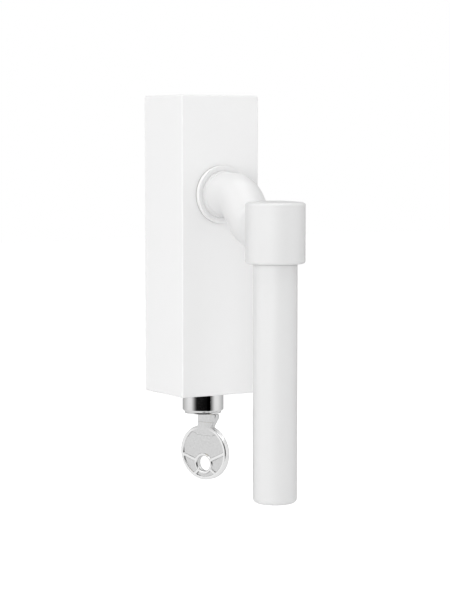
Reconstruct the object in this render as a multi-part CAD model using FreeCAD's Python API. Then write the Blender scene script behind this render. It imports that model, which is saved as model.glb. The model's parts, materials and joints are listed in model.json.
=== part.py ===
import FreeCAD, Part
import math
import os

# Lockable tilt-and-turn window handle.
# Origin on the spindle's axis in the plane of the window's face, +Z up, the user stands towards -Y.
# All sizes are in millimetres.

Vec = FreeCAD.Vector
AXIS_X = Vec(1, 0, 0)
AXIS_Y = Vec(0, 1, 0)
AXIS_Z = Vec(0, 0, 1)
ORIGIN = Vec(0, 0, 0)

# Case
case_width = 41.4
case_height = 140.0
case_depth = 35.0
spindle_below_top = 46.0
case_wall = 2.2
case_edge_radius = 0.8
inner_corner_radius = 1.5
nest_gap = 0.3

# How far a cutting tool reaches past what it cuts, and how close two places count as one
past = 1.0
same_place = 0.01

# Fits
running_gap = 0.06
press_gap = 0.02
loose_gap = 0.15
end_gap = 0.1

# Collar on the case's front
collar_diameter = 27.0
collar_height = 3.0
collar_bevel = 0.3
collar_dish = 1.2
collar_undercut = 0.5
collar_spigot_wall = 2.6

# Lever
neck_diameter = 20.4
neck_foot_diameter = 22.1
neck_foot_bevel = 0.3
neck_stub = 8.2
neck_inner_bend = 0.7
neck_bend_angle = 49.0
neck_drop = 14.3
neck_past_stud = 6.0
lever_reach = 82.0
knuckle_diameter = 27.0
knuckle_height = 27.4
knuckle_rise = 11.9
knuckle_edge_width = 1.0
knuckle_edge_height = 1.4
knuckle_crown = 0.7
grip_diameter = 20.0
grip_length = 107.8
grip_end_bevel = 2.2
grip_end_facet = 0.65
stud_diameter = 8.0
stud_in_knuckle = 20.5
stud_in_grip = 26.0
neck_gap = 0.08
neck_foot_gap = 0.3

# Hub and what sits on it
shank_diameter = 16.0
bush_wall = 1.25
bush_flange = 1.2
bush_boss_height = 1.8
washer_diameter = 24.0
washer_thickness = 1.0
square_across_flats = 13.0
disc_diameter = 31.0
disc_thickness = 3.4
disc_hub_diameter = 20.0
notch_count = 4
notch_side_gap = 0.2
notch_end_gap = 0.4
cam_width = 22.0
cam_corner_radius = 4.0
cam_thickness = 5.0
cam_boss_diameter = 18.0
cam_boss_height = 2.2
clip_thickness = 1.0
clip_groove_depth = 0.7
clip_rim = 1.6
clip_mouth = 6.0
shank_past_clip = 1.0

# Spindle
spindle_square = 7.0
spindle_behind = 24.0
spindle_in_hub = 26.0
spindle_chamfer = 0.8
spindle_pin_diameter = 2.5
spindle_pin_inset = 3.0
spindle_gap = 0.05

# Detent springs
spring_strip_thickness = 0.6
spring_strip_length = 46.0
spring_post_length = 4.0
spring_post_wall = 1.7
spring_slot_gap = 0.1

# Back plate and its screws
plate_thickness = 4.0
screw_spacing = 43.0
screw_diameter = 5.0
screw_shank_diameter = 4.4
screw_length = 25.0
screw_tip_chamfer = 0.8
screw_head_diameter = 9.4
screw_socket = 3.0
screw_socket_depth = 2.0
boss_diameter = 10.0
boss_height = 3.0
spindle_hole_diameter = 14.0
hook_width = 24.0
hook_depth = 1.6
hook_height = 1.4
tab_width = 12.0
tab_height = 7.5
tab_depth = 6.0
grub_diameter = 4.0
grub_length = 6.0
grub_socket = 2.0
grub_socket_depth = 2.5
grub_from_window = 3.2

# Chassis
chassis_web = 4.0
chassis_wall = 2.0
chassis_screw_diameter = 3.0
chassis_screw_head = 5.5
chassis_screw_head_height = 1.8
chassis_screw_bite = 3.0
chassis_screw_socket = 2.0
chassis_screw_socket_depth = 1.2
chassis_screw_high = 36.0
chassis_screw_low = -42.0
cover_boss_diameter = 7.0
cover_boss_height = 2.4
guide_wall = 2.6
guide_length = 25.0
shelf_thickness = 3.0
rail_thickness = 2.0
rod_guide_height = 5.0
rod_guide_below_disc = 6.5
rib_thickness = 2.0
rib_height = 8.0
rib_levels = (28.0, -32.0)

# Push lock
lock_depth = 18.8
barrel_diameter = 19.5
barrel_length = 34.0
barrel_proud = 9.8
barrel_chamfer = 1.4
barrel_mouth_diameter = 12.4
barrel_lip = 1.2
barrel_hole_gap = 0.3
lock_travel = 7.0
stop_pin_diameter = 3.0
stop_pin_above_mouth = 24.0
groove_depth = 1.8
plug_diameter = 13.6
rod_width = 8.0
rod_thickness = 3.0
rod_foot_height = 2.0
rod_tip_gap = 1.2
rod_tip_chamfer = 1.0
spring_room = 15.6
spring_wire = 0.9
spring_diameter = 13.0
spring_turns = 4
wafer_count = 5
wafer_pitch = 4.2
wafer_thickness = 0.9
wafer_width = 5.0
wafer_length = 12.2
wafer_first = 4.0

# Key
key_turned = 20.0
key_thickness = 3.2
key_panel_depth = 0.5
key_shoulder_gap = 0.3
blade_thickness = 2.0
blade_width = 8.0
blade_length = 22.5
blade_offset = 1.4
blade_tip = 2.0
blade_cut_depth = 0.9
blade_cut_width = 1.6
stem_left = 2.05
stem_right = 6.1
stem_flare = 2.7
stem_shoulder = 1.0
stem_flare_height = 4.2
stem_line_below = 3.7
stem_line_depth = 0.15
bow_diameter = 26.0
bow_below_barrel = 19.0
bow_offset = 1.25
bow_edge_chamfer = 0.4
bow_rim = 1.5
bow_tongue = 4.4
ring_hole_diameter = 6.8
ring_hole_below = 5.3
ring_hole_bevel = 0.6
ring_rim = 1.3
key_rib_width = 1.2
key_rib_angles = (20.0, 160.0, 217.0, 323.0)
keyway_gap = 0.12
key_window_gap = 0.3

# Planes of the case, worked out from the sizes above
case_front = -case_depth
case_top = spindle_below_top
case_bottom = case_top - case_height
inner_front = case_front + case_wall
inner_half = case_width / 2 - case_wall
inner_top = case_top - case_wall
inner_bottom = case_bottom + case_wall
chassis_half = inner_half - nest_gap
chassis_top = inner_top - nest_gap
chassis_bottom = inner_bottom + nest_gap
chassis_back = -plate_thickness - nest_gap
web_back = inner_front + chassis_web
plate_half = inner_half - nest_gap

# Collar, bearing and the hub's stack, from front to back
collar_front = case_front - collar_height
neck_radius = neck_diameter / 2
neck_bend_radius = neck_radius + neck_inner_bend
collar_bore_radius = neck_radius + neck_gap
shank_radius = shank_diameter / 2
bush_bore_radius = shank_radius + running_gap
bush_radius = bush_bore_radius + bush_wall
bush_flange_radius = neck_radius + neck_gap - loose_gap
bush_flange_front = case_front - bush_flange
spigot_radius = bush_radius + collar_spigot_wall
neck_shoulder = bush_flange_front - end_gap
boss_back = web_back + bush_boss_height
washer_front = boss_back + end_gap
washer_back = washer_front + washer_thickness
disc_front = -lock_depth - disc_thickness / 2
disc_back = disc_front + disc_thickness
cam_front = disc_back + cam_boss_height
cam_back = cam_front + cam_thickness
clip_front = cam_back + end_gap
clip_back = clip_front + clip_thickness
shank_end = clip_back + shank_past_clip
disc_radius = disc_diameter / 2

# Lever
knuckle_top = -neck_drop + knuckle_rise
knuckle_bottom = knuckle_top - knuckle_height
knuckle_radius = knuckle_diameter / 2
grip_bottom = knuckle_bottom - grip_length
neck_end = -lever_reach - neck_past_stud
stud_radius = stud_diameter / 2
stud_top = knuckle_bottom + stud_in_knuckle
stud_bottom = knuckle_bottom - stud_in_grip
spindle_front = shank_end - spindle_in_hub

# Push lock
barrel_bottom = case_bottom - barrel_proud
barrel_top = barrel_bottom + barrel_length
barrel_radius = barrel_diameter / 2
barrel_bore_radius = plug_diameter / 2 + running_gap
foot_radius = barrel_bore_radius - press_gap
foot_bottom = barrel_top - rod_foot_height
plug_bottom = barrel_bottom + barrel_lip + end_gap
plug_top = foot_bottom - end_gap
lock_axis = Vec(0, -lock_depth, 0)
guide_half = barrel_radius + guide_wall
guide_top = chassis_bottom + guide_length
guide_back = -lock_depth + guide_half
shelf_bottom = barrel_top + spring_room
shelf_top = shelf_bottom + shelf_thickness
rod_tip = -disc_radius - rod_tip_gap
notch_floor = -rod_tip - lock_travel - notch_end_gap
notch_width = rod_width + 2 * notch_side_gap
rod_guide_top = -disc_radius - rod_guide_below_disc
stop_pin_height = barrel_bottom + stop_pin_above_mouth
stop_pin_start = barrel_radius - groove_depth + nest_gap

# Key
blade_top = barrel_bottom + blade_length
stem_top = barrel_bottom - key_shoulder_gap
bow_radius = bow_diameter / 2
bow_height = barrel_bottom - bow_below_barrel
ring_hole_height = bow_height - ring_hole_below
ring_radius = ring_hole_diameter / 2 + ring_rim


def box(x, y, z):
    """Block between the low and the high value of each pair."""
    return Part.makeBox(x[1] - x[0], y[1] - y[0], z[1] - z[0], Vec(x[0], y[0], z[0]))


def round_x(radius, x, y, z):
    """Cylinder along X between the two values of x."""
    return Part.makeCylinder(radius, x[1] - x[0], Vec(x[0], y, z), AXIS_X)


def round_y(radius, x, y, z):
    """Cylinder along Y between the two values of y."""
    return Part.makeCylinder(radius, y[1] - y[0], Vec(x, y[0], z), AXIS_Y)


def round_z(radius, x, y, z):
    """Cylinder along Z between the two values of z."""
    return Part.makeCylinder(radius, z[1] - z[0], Vec(x, y, z[0]), AXIS_Z)


def turned(profile, axis, centre=ORIGIN):
    """Lathe-turned piece; the profile lists (radius, distance along the axis)."""
    corners = [centre + AXIS_X * radius + axis * distance for radius, distance in profile]
    face = Part.Face(Part.makePolygon(corners + corners[:1]))
    piece = face.revolve(centre, axis, 360)
    if piece.Volume < 0:
        piece.reverse()
    return piece


def joined(first, *others):
    """One solid out of several that touch or overlap."""
    whole = first.multiFuse(list(others)).removeSplitter()
    if len(whole.Solids) == 1:
        return whole.Solids[0]
    return whole


def cut(piece, *tools):
    """The piece without the tools, as one solid."""
    rest = piece.cut(list(tools))
    if len(rest.Solids) == 1:
        return rest.Solids[0]
    return rest


def edges_along(piece, axis):
    """Straight edges that run along the axis."""
    found = []
    for edge in piece.Edges:
        if isinstance(edge.Curve, Part.Line) and abs(edge.Curve.Direction.dot(axis)) > 1 - same_place:
            found.append(edge)
    return found


def rounded_block(x, y, z, radius):
    """Block whose four edges along Y are rounded."""
    block = box(x, y, z)
    return block.makeFillet(radius, edges_along(block, AXIS_Y))


def hex_along_z(across_flats, x, y, z):
    """Hexagonal prism along Z, for a screw's socket."""
    radius = across_flats / 2 / math.cos(math.radians(30))
    corners = []
    for index in range(7):
        angle = math.radians(60 * index)
        corners.append(Vec(x + radius * math.cos(angle), y + radius * math.sin(angle), z[0]))
    return Part.Face(Part.makePolygon(corners)).extrude(AXIS_Z * (z[1] - z[0]))


def hex_along_y(across_flats, x, y, z):
    """Hexagonal prism along Y, for a screw's socket."""
    prism = hex_along_z(across_flats, 0, 0, (0, y[1] - y[0]))
    prism.rotate(ORIGIN, AXIS_X, -90)
    prism.translate(Vec(x, y[0], z))
    return prism


def square_along_y(across_flats, y, x=0, z=0):
    """Square bar along Y."""
    half = across_flats / 2
    return box((x - half, x + half), y, (z - half, z + half))


def chassis_screw_heights():
    return (chassis_screw_high, chassis_screw_low)


def fixing_screw_heights():
    return (screw_spacing / 2, -screw_spacing / 2)


def cover():
    """White box, open towards the window."""
    outer = box((-case_width / 2, case_width / 2), (case_front, 0), (case_bottom, case_top))
    sharp = []
    for edge in outer.Edges:
        bounds = edge.BoundBox
        if bounds.YMin < -same_place:
            sharp.append(edge)
    outer = outer.makeFillet(case_edge_radius, sharp)
    hollow = rounded_block(
        (-inner_half, inner_half), (inner_front, past), (inner_bottom, inner_top), inner_corner_radius
    )
    shell = outer.cut(hollow)
    boss_top = inner_front + cover_boss_height
    bosses = []
    screw_holes = []
    for z in chassis_screw_heights():
        bosses.append(round_y(cover_boss_diameter / 2, 0, (inner_front, boss_top), z))
        hole_radius = chassis_screw_diameter / 2 + press_gap
        screw_holes.append(round_y(hole_radius, 0, (boss_top - chassis_screw_bite, boss_top), z))
    hook = box((-hook_width / 2, hook_width / 2), (-hook_depth, 0), (inner_top - hook_height, inner_top))
    shell = joined(shell, hook, *bosses)
    collar_hole = round_y(spigot_radius + press_gap, 0, (case_front - past, inner_front + past), 0)
    barrel_hole = round_z(
        barrel_radius + barrel_hole_gap, 0, -lock_depth, (case_bottom - past, inner_bottom + past)
    )
    grub_hole = round_z(
        grub_diameter / 2 + press_gap, 0, -grub_from_window, (case_bottom - past, inner_bottom + past)
    )
    return cut(shell, collar_hole, barrel_hole, grub_hole, *screw_holes)


def collar_ring():
    """Dished ring on the case's front, pressed in with a spigot that holds the bush."""
    outer = collar_diameter / 2
    foot = outer - collar_undercut
    seat = bush_radius + press_gap
    profile = [
        (collar_bore_radius, collar_front + collar_dish),
        (outer - collar_bevel, collar_front),
        (outer, collar_front + collar_bevel),
        (outer, case_front - collar_undercut),
        (foot, case_front - collar_undercut),
        (foot, case_front),
        (spigot_radius, case_front),
        (spigot_radius, inner_front),
        (seat, inner_front),
        (seat, case_front),
        (collar_bore_radius, case_front),
    ]
    return turned(profile, AXIS_Y)


def bearing_bush():
    """Flanged plastic bearing between hub and chassis."""
    profile = [
        (bush_bore_radius, bush_flange_front),
        (bush_flange_radius, bush_flange_front),
        (bush_flange_radius, case_front),
        (bush_radius, case_front),
        (bush_radius, boss_back),
        (bush_bore_radius, boss_back),
    ]
    return turned(profile, AXIS_Y)


def spring_post(side, level):
    """Post with a slot for one end of a detent spring."""
    strip_in = cam_width / 2 + end_gap
    strip_out = strip_in + spring_strip_thickness
    inner = strip_in - spring_slot_gap - spring_post_wall
    outer = strip_out + spring_slot_gap + spring_post_wall
    near = spring_strip_length / 2 - spring_post_length
    far = spring_strip_length / 2
    post_back = cam_back
    post = box((inner, outer), (web_back, post_back), (near, far))
    slot_x = (strip_in - spring_slot_gap, strip_out + spring_slot_gap)
    slot_y = (cam_front - spring_slot_gap, post_back + past)
    post = post.cut(box(slot_x, slot_y, (near - past, far + past)))
    if side < 0:
        post = post.mirror(ORIGIN, AXIS_X)
    if level < 0:
        post = post.mirror(ORIGIN, AXIS_Z)
    return post


def chassis():
    """Die-cast frame: tray, hub boss, lock guide, spring shelf, rod guide and spring posts."""
    tray = rounded_block(
        (-chassis_half, chassis_half),
        (inner_front, chassis_back),
        (chassis_bottom, chassis_top),
        inner_corner_radius,
    )
    pocket_half = chassis_half - chassis_wall
    pocket = box(
        (-pocket_half, pocket_half),
        (web_back, chassis_back + past),
        (chassis_bottom + chassis_wall, chassis_top - chassis_wall),
    )
    tray = tray.cut(pocket)
    wall_to_wall = (-pocket_half, pocket_half)
    boss = round_y(washer_diameter / 2, 0, (web_back, boss_back), 0)
    guide = box((-guide_half, guide_half), (web_back, guide_back), (chassis_bottom, guide_top))
    guide = guide.makeFillet(guide_wall, [
        edge for edge in edges_along(guide, AXIS_Z) if edge.BoundBox.YMin > web_back
    ])
    shelf_back = -lock_depth + spring_diameter / 2 + rail_thickness
    shelf = box(wall_to_wall, (web_back, shelf_back), (shelf_bottom, shelf_top))
    rod_half = rod_width / 2 + running_gap
    rod_back = -lock_depth + rod_thickness / 2 + running_gap
    rod_front = -lock_depth - rod_thickness / 2 - running_gap
    rod_guide = box(
        (-rod_half - rail_thickness, rod_half + rail_thickness),
        (web_back, rod_back + rail_thickness),
        (rod_guide_top - rod_guide_height, rod_guide_top),
    )
    rails = []
    for side in (-1, 1):
        edge = side * (rod_half + rail_thickness / 2)
        rails.append(box(
            (edge - rail_thickness / 2, edge + rail_thickness / 2),
            (web_back, rod_back),
            (shelf_top, rod_guide_top - rod_guide_height),
        ))
    ribs = []
    for level in rib_levels:
        ribs.append(box(
            wall_to_wall,
            (web_back, web_back + rib_height),
            (level - rib_thickness / 2, level + rib_thickness / 2),
        ))
    posts = [spring_post(side, level) for side in (-1, 1) for level in (-1, 1)]
    frame = joined(tray, boss, guide, shelf, rod_guide, *rails, *ribs, *posts)

    bush_bore = round_y(bush_radius + press_gap, 0, (inner_front - past, boss_back + past), 0)
    barrel_bore = round_z(
        barrel_radius + running_gap, 0, -lock_depth, (chassis_bottom - past, guide_top + past)
    )
    rod_slot = box(
        (-rod_half, rod_half), (rod_front, rod_back), (shelf_bottom - past, rod_guide_top + past)
    )
    tab_relief = box(
        (-tab_width / 2 - nest_gap, tab_width / 2 + nest_gap),
        (-tab_depth - nest_gap, 0),
        (chassis_bottom - past, inner_bottom + tab_height + nest_gap),
    )
    pin_hole = round_x(
        stop_pin_diameter / 2 + press_gap, (stop_pin_start, chassis_half + past), -lock_depth, stop_pin_height
    )
    holes = [bush_bore, barrel_bore, rod_slot, tab_relief, pin_hole]
    pocket_back = inner_front + cover_boss_height
    for z in chassis_screw_heights():
        holes.append(round_y(
            cover_boss_diameter / 2 + loose_gap, 0, (inner_front - past, pocket_back), z
        ))
        holes.append(round_y(
            chassis_screw_diameter / 2 + loose_gap, 0, (inner_front, web_back + past), z
        ))
    return cut(frame, *holes)


def chassis_screws():
    """Two pan-head screws through the chassis into the cover's bosses."""
    screws = []
    tip = inner_front + cover_boss_height - chassis_screw_bite
    head_back = web_back + chassis_screw_head_height
    socket_y = (head_back - chassis_screw_socket_depth, head_back + past)
    for z in chassis_screw_heights():
        shank = round_y(chassis_screw_diameter / 2, 0, (tip, web_back), z)
        head = round_y(chassis_screw_head / 2, 0, (web_back, head_back), z)
        socket = hex_along_y(chassis_screw_socket, 0, socket_y, z)
        screws.append(cut(joined(shank, head), socket))
    return Part.makeCompound(screws)


def screw_head_height():
    return (screw_head_diameter - screw_shank_diameter) / 2


def back_plate():
    """Plate that stays on the window; the cover hooks over its top and is screwed to its tab."""
    plate = rounded_block(
        (-plate_half, plate_half),
        (-plate_thickness, 0),
        (inner_bottom + nest_gap, inner_top - nest_gap),
        inner_corner_radius,
    )
    bosses = [round_y(boss_diameter / 2, 0, (0, boss_height), z) for z in fixing_screw_heights()]
    tab = box(
        (-tab_width / 2, tab_width / 2),
        (-tab_depth, 0),
        (inner_bottom + nest_gap, inner_bottom + tab_height),
    )
    plate = joined(plate, tab, *bosses)
    holes = [round_y(spindle_hole_diameter / 2, 0, (-plate_thickness - past, past), 0)]
    head_height = screw_head_height()
    for z in fixing_screw_heights():
        holes.append(round_y(
            screw_diameter / 2 + loose_gap, 0, (-plate_thickness, boss_height + past), z
        ))
        holes.append(Part.makeCone(
            screw_head_diameter / 2 + loose_gap,
            screw_shank_diameter / 2 + loose_gap,
            head_height,
            Vec(0, -plate_thickness, z),
            AXIS_Y,
        ))
    hook_room = box(
        (-hook_width / 2 - nest_gap, hook_width / 2 + nest_gap),
        (-hook_depth - nest_gap, past),
        (inner_top - hook_height - nest_gap, inner_top + past),
    )
    grub_seat = round_z(
        grub_diameter / 2 + press_gap,
        0,
        -grub_from_window,
        (inner_bottom - past, case_bottom + grub_length + end_gap),
    )
    return cut(plate, hook_room, grub_seat, *holes)


def fixing_screws():
    """Two countersunk screws into the window's gear; the thread starts behind the plate's bosses."""
    screws = []
    tip = -plate_thickness + screw_length
    thread_start = boss_height + nest_gap
    profile = [
        (0, -plate_thickness),
        (screw_head_diameter / 2, -plate_thickness),
        (screw_shank_diameter / 2, -plate_thickness + screw_head_height()),
        (screw_shank_diameter / 2, thread_start),
        (screw_diameter / 2, thread_start),
        (screw_diameter / 2, tip - screw_tip_chamfer),
        (screw_diameter / 2 - screw_tip_chamfer, tip),
        (0, tip),
    ]
    socket_y = (-plate_thickness - past, -plate_thickness + screw_socket_depth)
    for z in fixing_screw_heights():
        screw = turned(profile, AXIS_Y, Vec(0, 0, z))
        screws.append(cut(screw, hex_along_y(screw_socket, 0, socket_y, z)))
    return Part.makeCompound(screws)


def cover_screw():
    """Grub screw from below through the cover into the plate's tab."""
    screw = round_z(grub_diameter / 2, 0, -grub_from_window, (case_bottom, case_bottom + grub_length))
    socket = hex_along_z(
        grub_socket, 0, -grub_from_window, (case_bottom - past, case_bottom + grub_socket_depth)
    )
    return cut(screw, socket)


def detent_springs():
    """Two flat springs that press on the cam's sides."""
    strips = []
    inner = cam_width / 2 + end_gap
    half = spring_strip_length / 2
    for x in (inner, -inner - spring_strip_thickness):
        strips.append(box((x, x + spring_strip_thickness), (cam_front, cam_back), (-half, half)))
    return Part.makeCompound(strips)


def lock_stop_pin():
    """Dowel from the chassis's side through the guide; its end runs in the barrel's groove."""
    return round_x(stop_pin_diameter / 2, (stop_pin_start, chassis_half), -lock_depth, stop_pin_height)


def neck_path():
    """Centre line of the neck: level, bent down, straight, bent level again."""
    turn = math.radians(neck_bend_angle)
    radius = neck_bend_radius
    slope = (neck_drop - 2 * radius * (1 - math.cos(turn))) / math.sin(turn)
    half = turn / 2
    start = Vec(0, neck_shoulder, 0)
    bend_1 = Vec(0, collar_front - neck_stub, 0)
    centre_1 = bend_1 + Vec(0, 0, -radius)

    def on_first(angle):
        return centre_1 + Vec(0, -radius * math.sin(angle), radius * math.cos(angle))

    slope_start = on_first(turn)
    slope_end = slope_start + Vec(0, -math.cos(turn), -math.sin(turn)) * slope
    centre_2 = slope_end + Vec(0, -math.sin(turn), math.cos(turn)) * radius

    def on_second(angle):
        return centre_2 + Vec(0, radius * math.sin(angle), -radius * math.cos(angle))

    bend_2 = on_second(0)
    end = Vec(0, neck_end, bend_2.z)
    edges = [
        Part.LineSegment(start, bend_1).toShape(),
        Part.Arc(bend_1, on_first(half), slope_start).toShape(),
        Part.LineSegment(slope_start, slope_end).toShape(),
        Part.Arc(slope_end, on_second(half), bend_2).toShape(),
        Part.LineSegment(bend_2, end).toShape(),
    ]
    return Part.Wire(edges)


def neck_foot():
    """Flare round the neck just in front of the dished collar; it runs out where the bend starts."""
    foot = neck_foot_diameter / 2
    slope = collar_dish / (collar_diameter / 2 - collar_bore_radius)
    back = collar_front + slope * (collar_diameter / 2 - foot) - neck_foot_gap
    profile = [
        (0, back),
        (foot - neck_foot_bevel, back),
        (foot, back - neck_foot_bevel),
        (neck_radius, collar_front - neck_stub),
        (0, collar_front - neck_stub),
    ]
    return turned(profile, AXIS_Y)


def neck():
    """Bent neck; its front end sits in the knuckle and its stepped shank is the hub behind."""
    section = Part.Wire(Part.makeCircle(neck_radius, Vec(0, neck_shoulder, 0), AXIS_Y))
    bent = neck_path().makePipeShell([section], True, False)
    shank = round_y(shank_radius, 0, (neck_shoulder, cam_back), 0)
    flats = square_along_y(square_across_flats, (washer_back, cam_back))
    rear = round_y(shank_radius, 0, (washer_back, cam_back), 0)
    shank = shank.cut(rear.cut(flats))
    tail = round_y(square_across_flats / 2, 0, (cam_back, shank_end), 0)
    whole = joined(bent, neck_foot(), shank, tail)
    groove_outer = round_y(square_across_flats, 0, (clip_front, clip_back + end_gap), 0)
    groove_inner = round_y(
        square_across_flats / 2 - clip_groove_depth, 0, (clip_front, clip_back + end_gap), 0
    )
    groove = groove_outer.cut(groove_inner)
    socket = square_along_y(spindle_square + 2 * spindle_gap, (spindle_front - end_gap, shank_end + past))
    pin_y = spindle_front + spindle_pin_inset
    pin_hole = round_x(spindle_pin_diameter / 2 + press_gap, (-shank_diameter, shank_diameter), pin_y, 0)
    stud_hole = round_z(
        stud_radius + press_gap, 0, -lever_reach, (-neck_drop - neck_radius, -neck_drop + neck_radius)
    )
    return cut(whole, groove, socket, pin_hole, stud_hole)


def knuckle():
    """Thick upright cylinder with a slightly domed top, bored for the neck and the stud."""
    face = knuckle_radius - knuckle_edge_width
    # Half way in, a shallow dome has risen by three quarters of its height.
    dome_middle = knuckle_top + knuckle_crown * 0.75
    profile = [
        (0, knuckle_bottom),
        (face, knuckle_bottom),
        (knuckle_radius, knuckle_bottom + knuckle_edge_height),
        (knuckle_radius, knuckle_top - knuckle_edge_height),
        (face, knuckle_top),
        (face / 2, dome_middle),
        (0, knuckle_top + knuckle_crown),
    ]
    body = turned(profile, AXIS_Z, Vec(0, -lever_reach, 0))
    neck_bore = round_y(
        neck_radius + press_gap, 0, (neck_end - press_gap, -lever_reach + knuckle_diameter), -neck_drop
    )
    stud_bore = round_z(
        stud_radius + press_gap, 0, -lever_reach, (knuckle_bottom - past, stud_top + end_gap)
    )
    return cut(body, neck_bore, stud_bore)


def grip():
    """Slim round hand grip with a softened end."""
    radius = grip_diameter / 2
    bore = stud_radius + press_gap
    profile = [
        (0, grip_bottom),
        (radius - grip_end_bevel, grip_bottom),
        (radius - grip_end_facet, grip_bottom + grip_end_facet),
        (radius, grip_bottom + grip_end_bevel),
        (radius, knuckle_bottom),
        (bore, knuckle_bottom),
        (bore, stud_bottom - end_gap),
        (0, stud_bottom - end_gap),
    ]
    return turned(profile, AXIS_Z, Vec(0, -lever_reach, 0))


def grip_stud():
    """Stud through the neck's end that pulls grip and knuckle together."""
    return round_z(stud_radius, 0, -lever_reach, (stud_bottom, stud_top))


def spindle():
    """Square bar from the hub into the window's gear."""
    bar = square_along_y(spindle_square, (spindle_front, spindle_behind))
    ends = []
    for edge in bar.Edges:
        bounds = edge.BoundBox
        if bounds.YMax < spindle_front + same_place or bounds.YMin > spindle_behind - same_place:
            ends.append(edge)
    bar = bar.makeChamfer(spindle_chamfer, ends)
    pin_y = spindle_front + spindle_pin_inset
    across = (-spindle_square, spindle_square)
    return cut(bar, round_x(spindle_pin_diameter / 2 + press_gap, across, pin_y, 0))


def spindle_pin():
    """Pin across hub and spindle, hidden inside the bush."""
    half = math.sqrt(shank_radius ** 2 - (spindle_pin_diameter / 2) ** 2) - end_gap
    return round_x(spindle_pin_diameter / 2, (-half, half), spindle_front + spindle_pin_inset, 0)


def thrust_washer():
    """Flat washer between the chassis boss and the lock disc."""
    bore = shank_radius + running_gap
    profile = [
        (bore, washer_front),
        (washer_diameter / 2, washer_front),
        (washer_diameter / 2, washer_back),
        (bore, washer_back),
    ]
    return turned(profile, AXIS_Y)


def lock_disc():
    """Disc with a notch for the rod at each quarter turn, and a hub up to the washer."""
    disc = joined(
        round_y(disc_radius, 0, (disc_front, disc_back), 0),
        round_y(disc_hub_diameter / 2, 0, (washer_back, disc_front), 0),
    )
    bore_y = (washer_back - past, disc_back + past)
    square = square_along_y(square_across_flats + 2 * spindle_gap, bore_y)
    bore = square.common(round_y(shank_radius + spindle_gap, 0, bore_y, 0))
    tools = [bore]
    for index in range(notch_count):
        notch = box(
            (-notch_width / 2, notch_width / 2),
            (disc_front - past, disc_back + past),
            (-disc_radius - past, -notch_floor),
        )
        notch.rotate(ORIGIN, AXIS_Y, 360.0 * index / notch_count)
        tools.append(notch)
    return cut(disc, *tools)


def detent_cam():
    """Rounded square that the flat springs hold at each quarter turn."""
    half = cam_width / 2
    square = rounded_block((-half, half), (cam_front, cam_back), (-half, half), cam_corner_radius)
    boss = round_y(cam_boss_diameter / 2, 0, (disc_back, cam_front), 0)
    whole = joined(square, boss)
    bore_y = (disc_back - past, cam_back + past)
    square_bore = square_along_y(square_across_flats + 2 * spindle_gap, bore_y)
    bore = square_bore.common(round_y(shank_radius + spindle_gap, 0, bore_y, 0))
    return cut(whole, bore)


def retaining_ring():
    """Open ring in the groove at the hub's end."""
    inner = square_across_flats / 2 - clip_groove_depth + spindle_gap
    outer = square_across_flats / 2 + clip_rim
    y = (clip_front, clip_back)
    ring = round_y(outer, 0, y, 0).cut(round_y(inner, 0, y, 0))
    mouth = box((-clip_mouth / 2, clip_mouth / 2), (clip_front - past, clip_back + past), (0, outer + past))
    return cut(ring, mouth)


def lock_barrel():
    """Bright barrel: mouth below, bore for plug and rod, groove for the stop pin."""
    profile = [
        (barrel_mouth_diameter / 2, barrel_bottom),
        (barrel_radius - barrel_chamfer, barrel_bottom),
        (barrel_radius, barrel_bottom + barrel_chamfer),
        (barrel_radius, barrel_top),
        (barrel_bore_radius, barrel_top),
        (barrel_bore_radius, barrel_bottom + barrel_lip),
        (barrel_mouth_diameter / 2, barrel_bottom + barrel_lip),
    ]
    barrel = turned(profile, AXIS_Z, lock_axis)
    half = stop_pin_diameter / 2 + running_gap
    groove_low = stop_pin_height - lock_travel - half
    groove_high = stop_pin_height + half
    groove = box(
        (barrel_radius - groove_depth, barrel_radius + past),
        (-lock_depth - half, -lock_depth + half),
        (groove_low, groove_high),
    )
    return cut(barrel, groove)


def lock_rod():
    """Flat rod that stands on the barrel and enters the disc's notch when the barrel is pushed."""
    foot = round_z(foot_radius, 0, -lock_depth, (foot_bottom, barrel_top))
    half = rod_width / 2
    outline = [
        Vec(-half, 0, barrel_top),
        Vec(half, 0, barrel_top),
        Vec(half, 0, rod_tip - rod_tip_chamfer),
        Vec(half - rod_tip_chamfer, 0, rod_tip),
        Vec(-half + rod_tip_chamfer, 0, rod_tip),
        Vec(-half, 0, rod_tip - rod_tip_chamfer),
    ]
    blade = Part.Face(Part.makePolygon(outline + outline[:1])).extrude(AXIS_Y * rod_thickness)
    blade.translate(Vec(0, -lock_depth - rod_thickness / 2, 0))
    return joined(foot, blade)


def lock_return_spring():
    """Coil of square wire round the rod, between the rod's foot and the shelf."""
    mean = (spring_diameter - spring_wire) / 2
    low = barrel_top + spring_wire / 2 + press_gap
    height = spring_room - spring_wire - 2 * press_gap
    helix = Part.makeHelix(height / spring_turns, height, mean)
    half = spring_wire / 2
    corners = [Vec(mean + x * half, 0, z * half) for x, z in ((1, 1), (-1, 1), (-1, -1), (1, -1))]
    section = Part.makePolygon(corners + corners[:1])
    coil = Part.Wire(helix.Edges).makePipeShell([section], True, True)
    coil.translate(Vec(0, -lock_depth, low))
    return coil


def turned_with_key(piece):
    """Turns a piece made with the key's width along X to the key's direction."""
    piece.rotate(ORIGIN, AXIS_Z, key_turned - 90)
    piece.translate(lock_axis)
    return piece


def wafer_levels():
    return [plug_bottom + wafer_first + wafer_pitch * index for index in range(wafer_count)]


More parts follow.
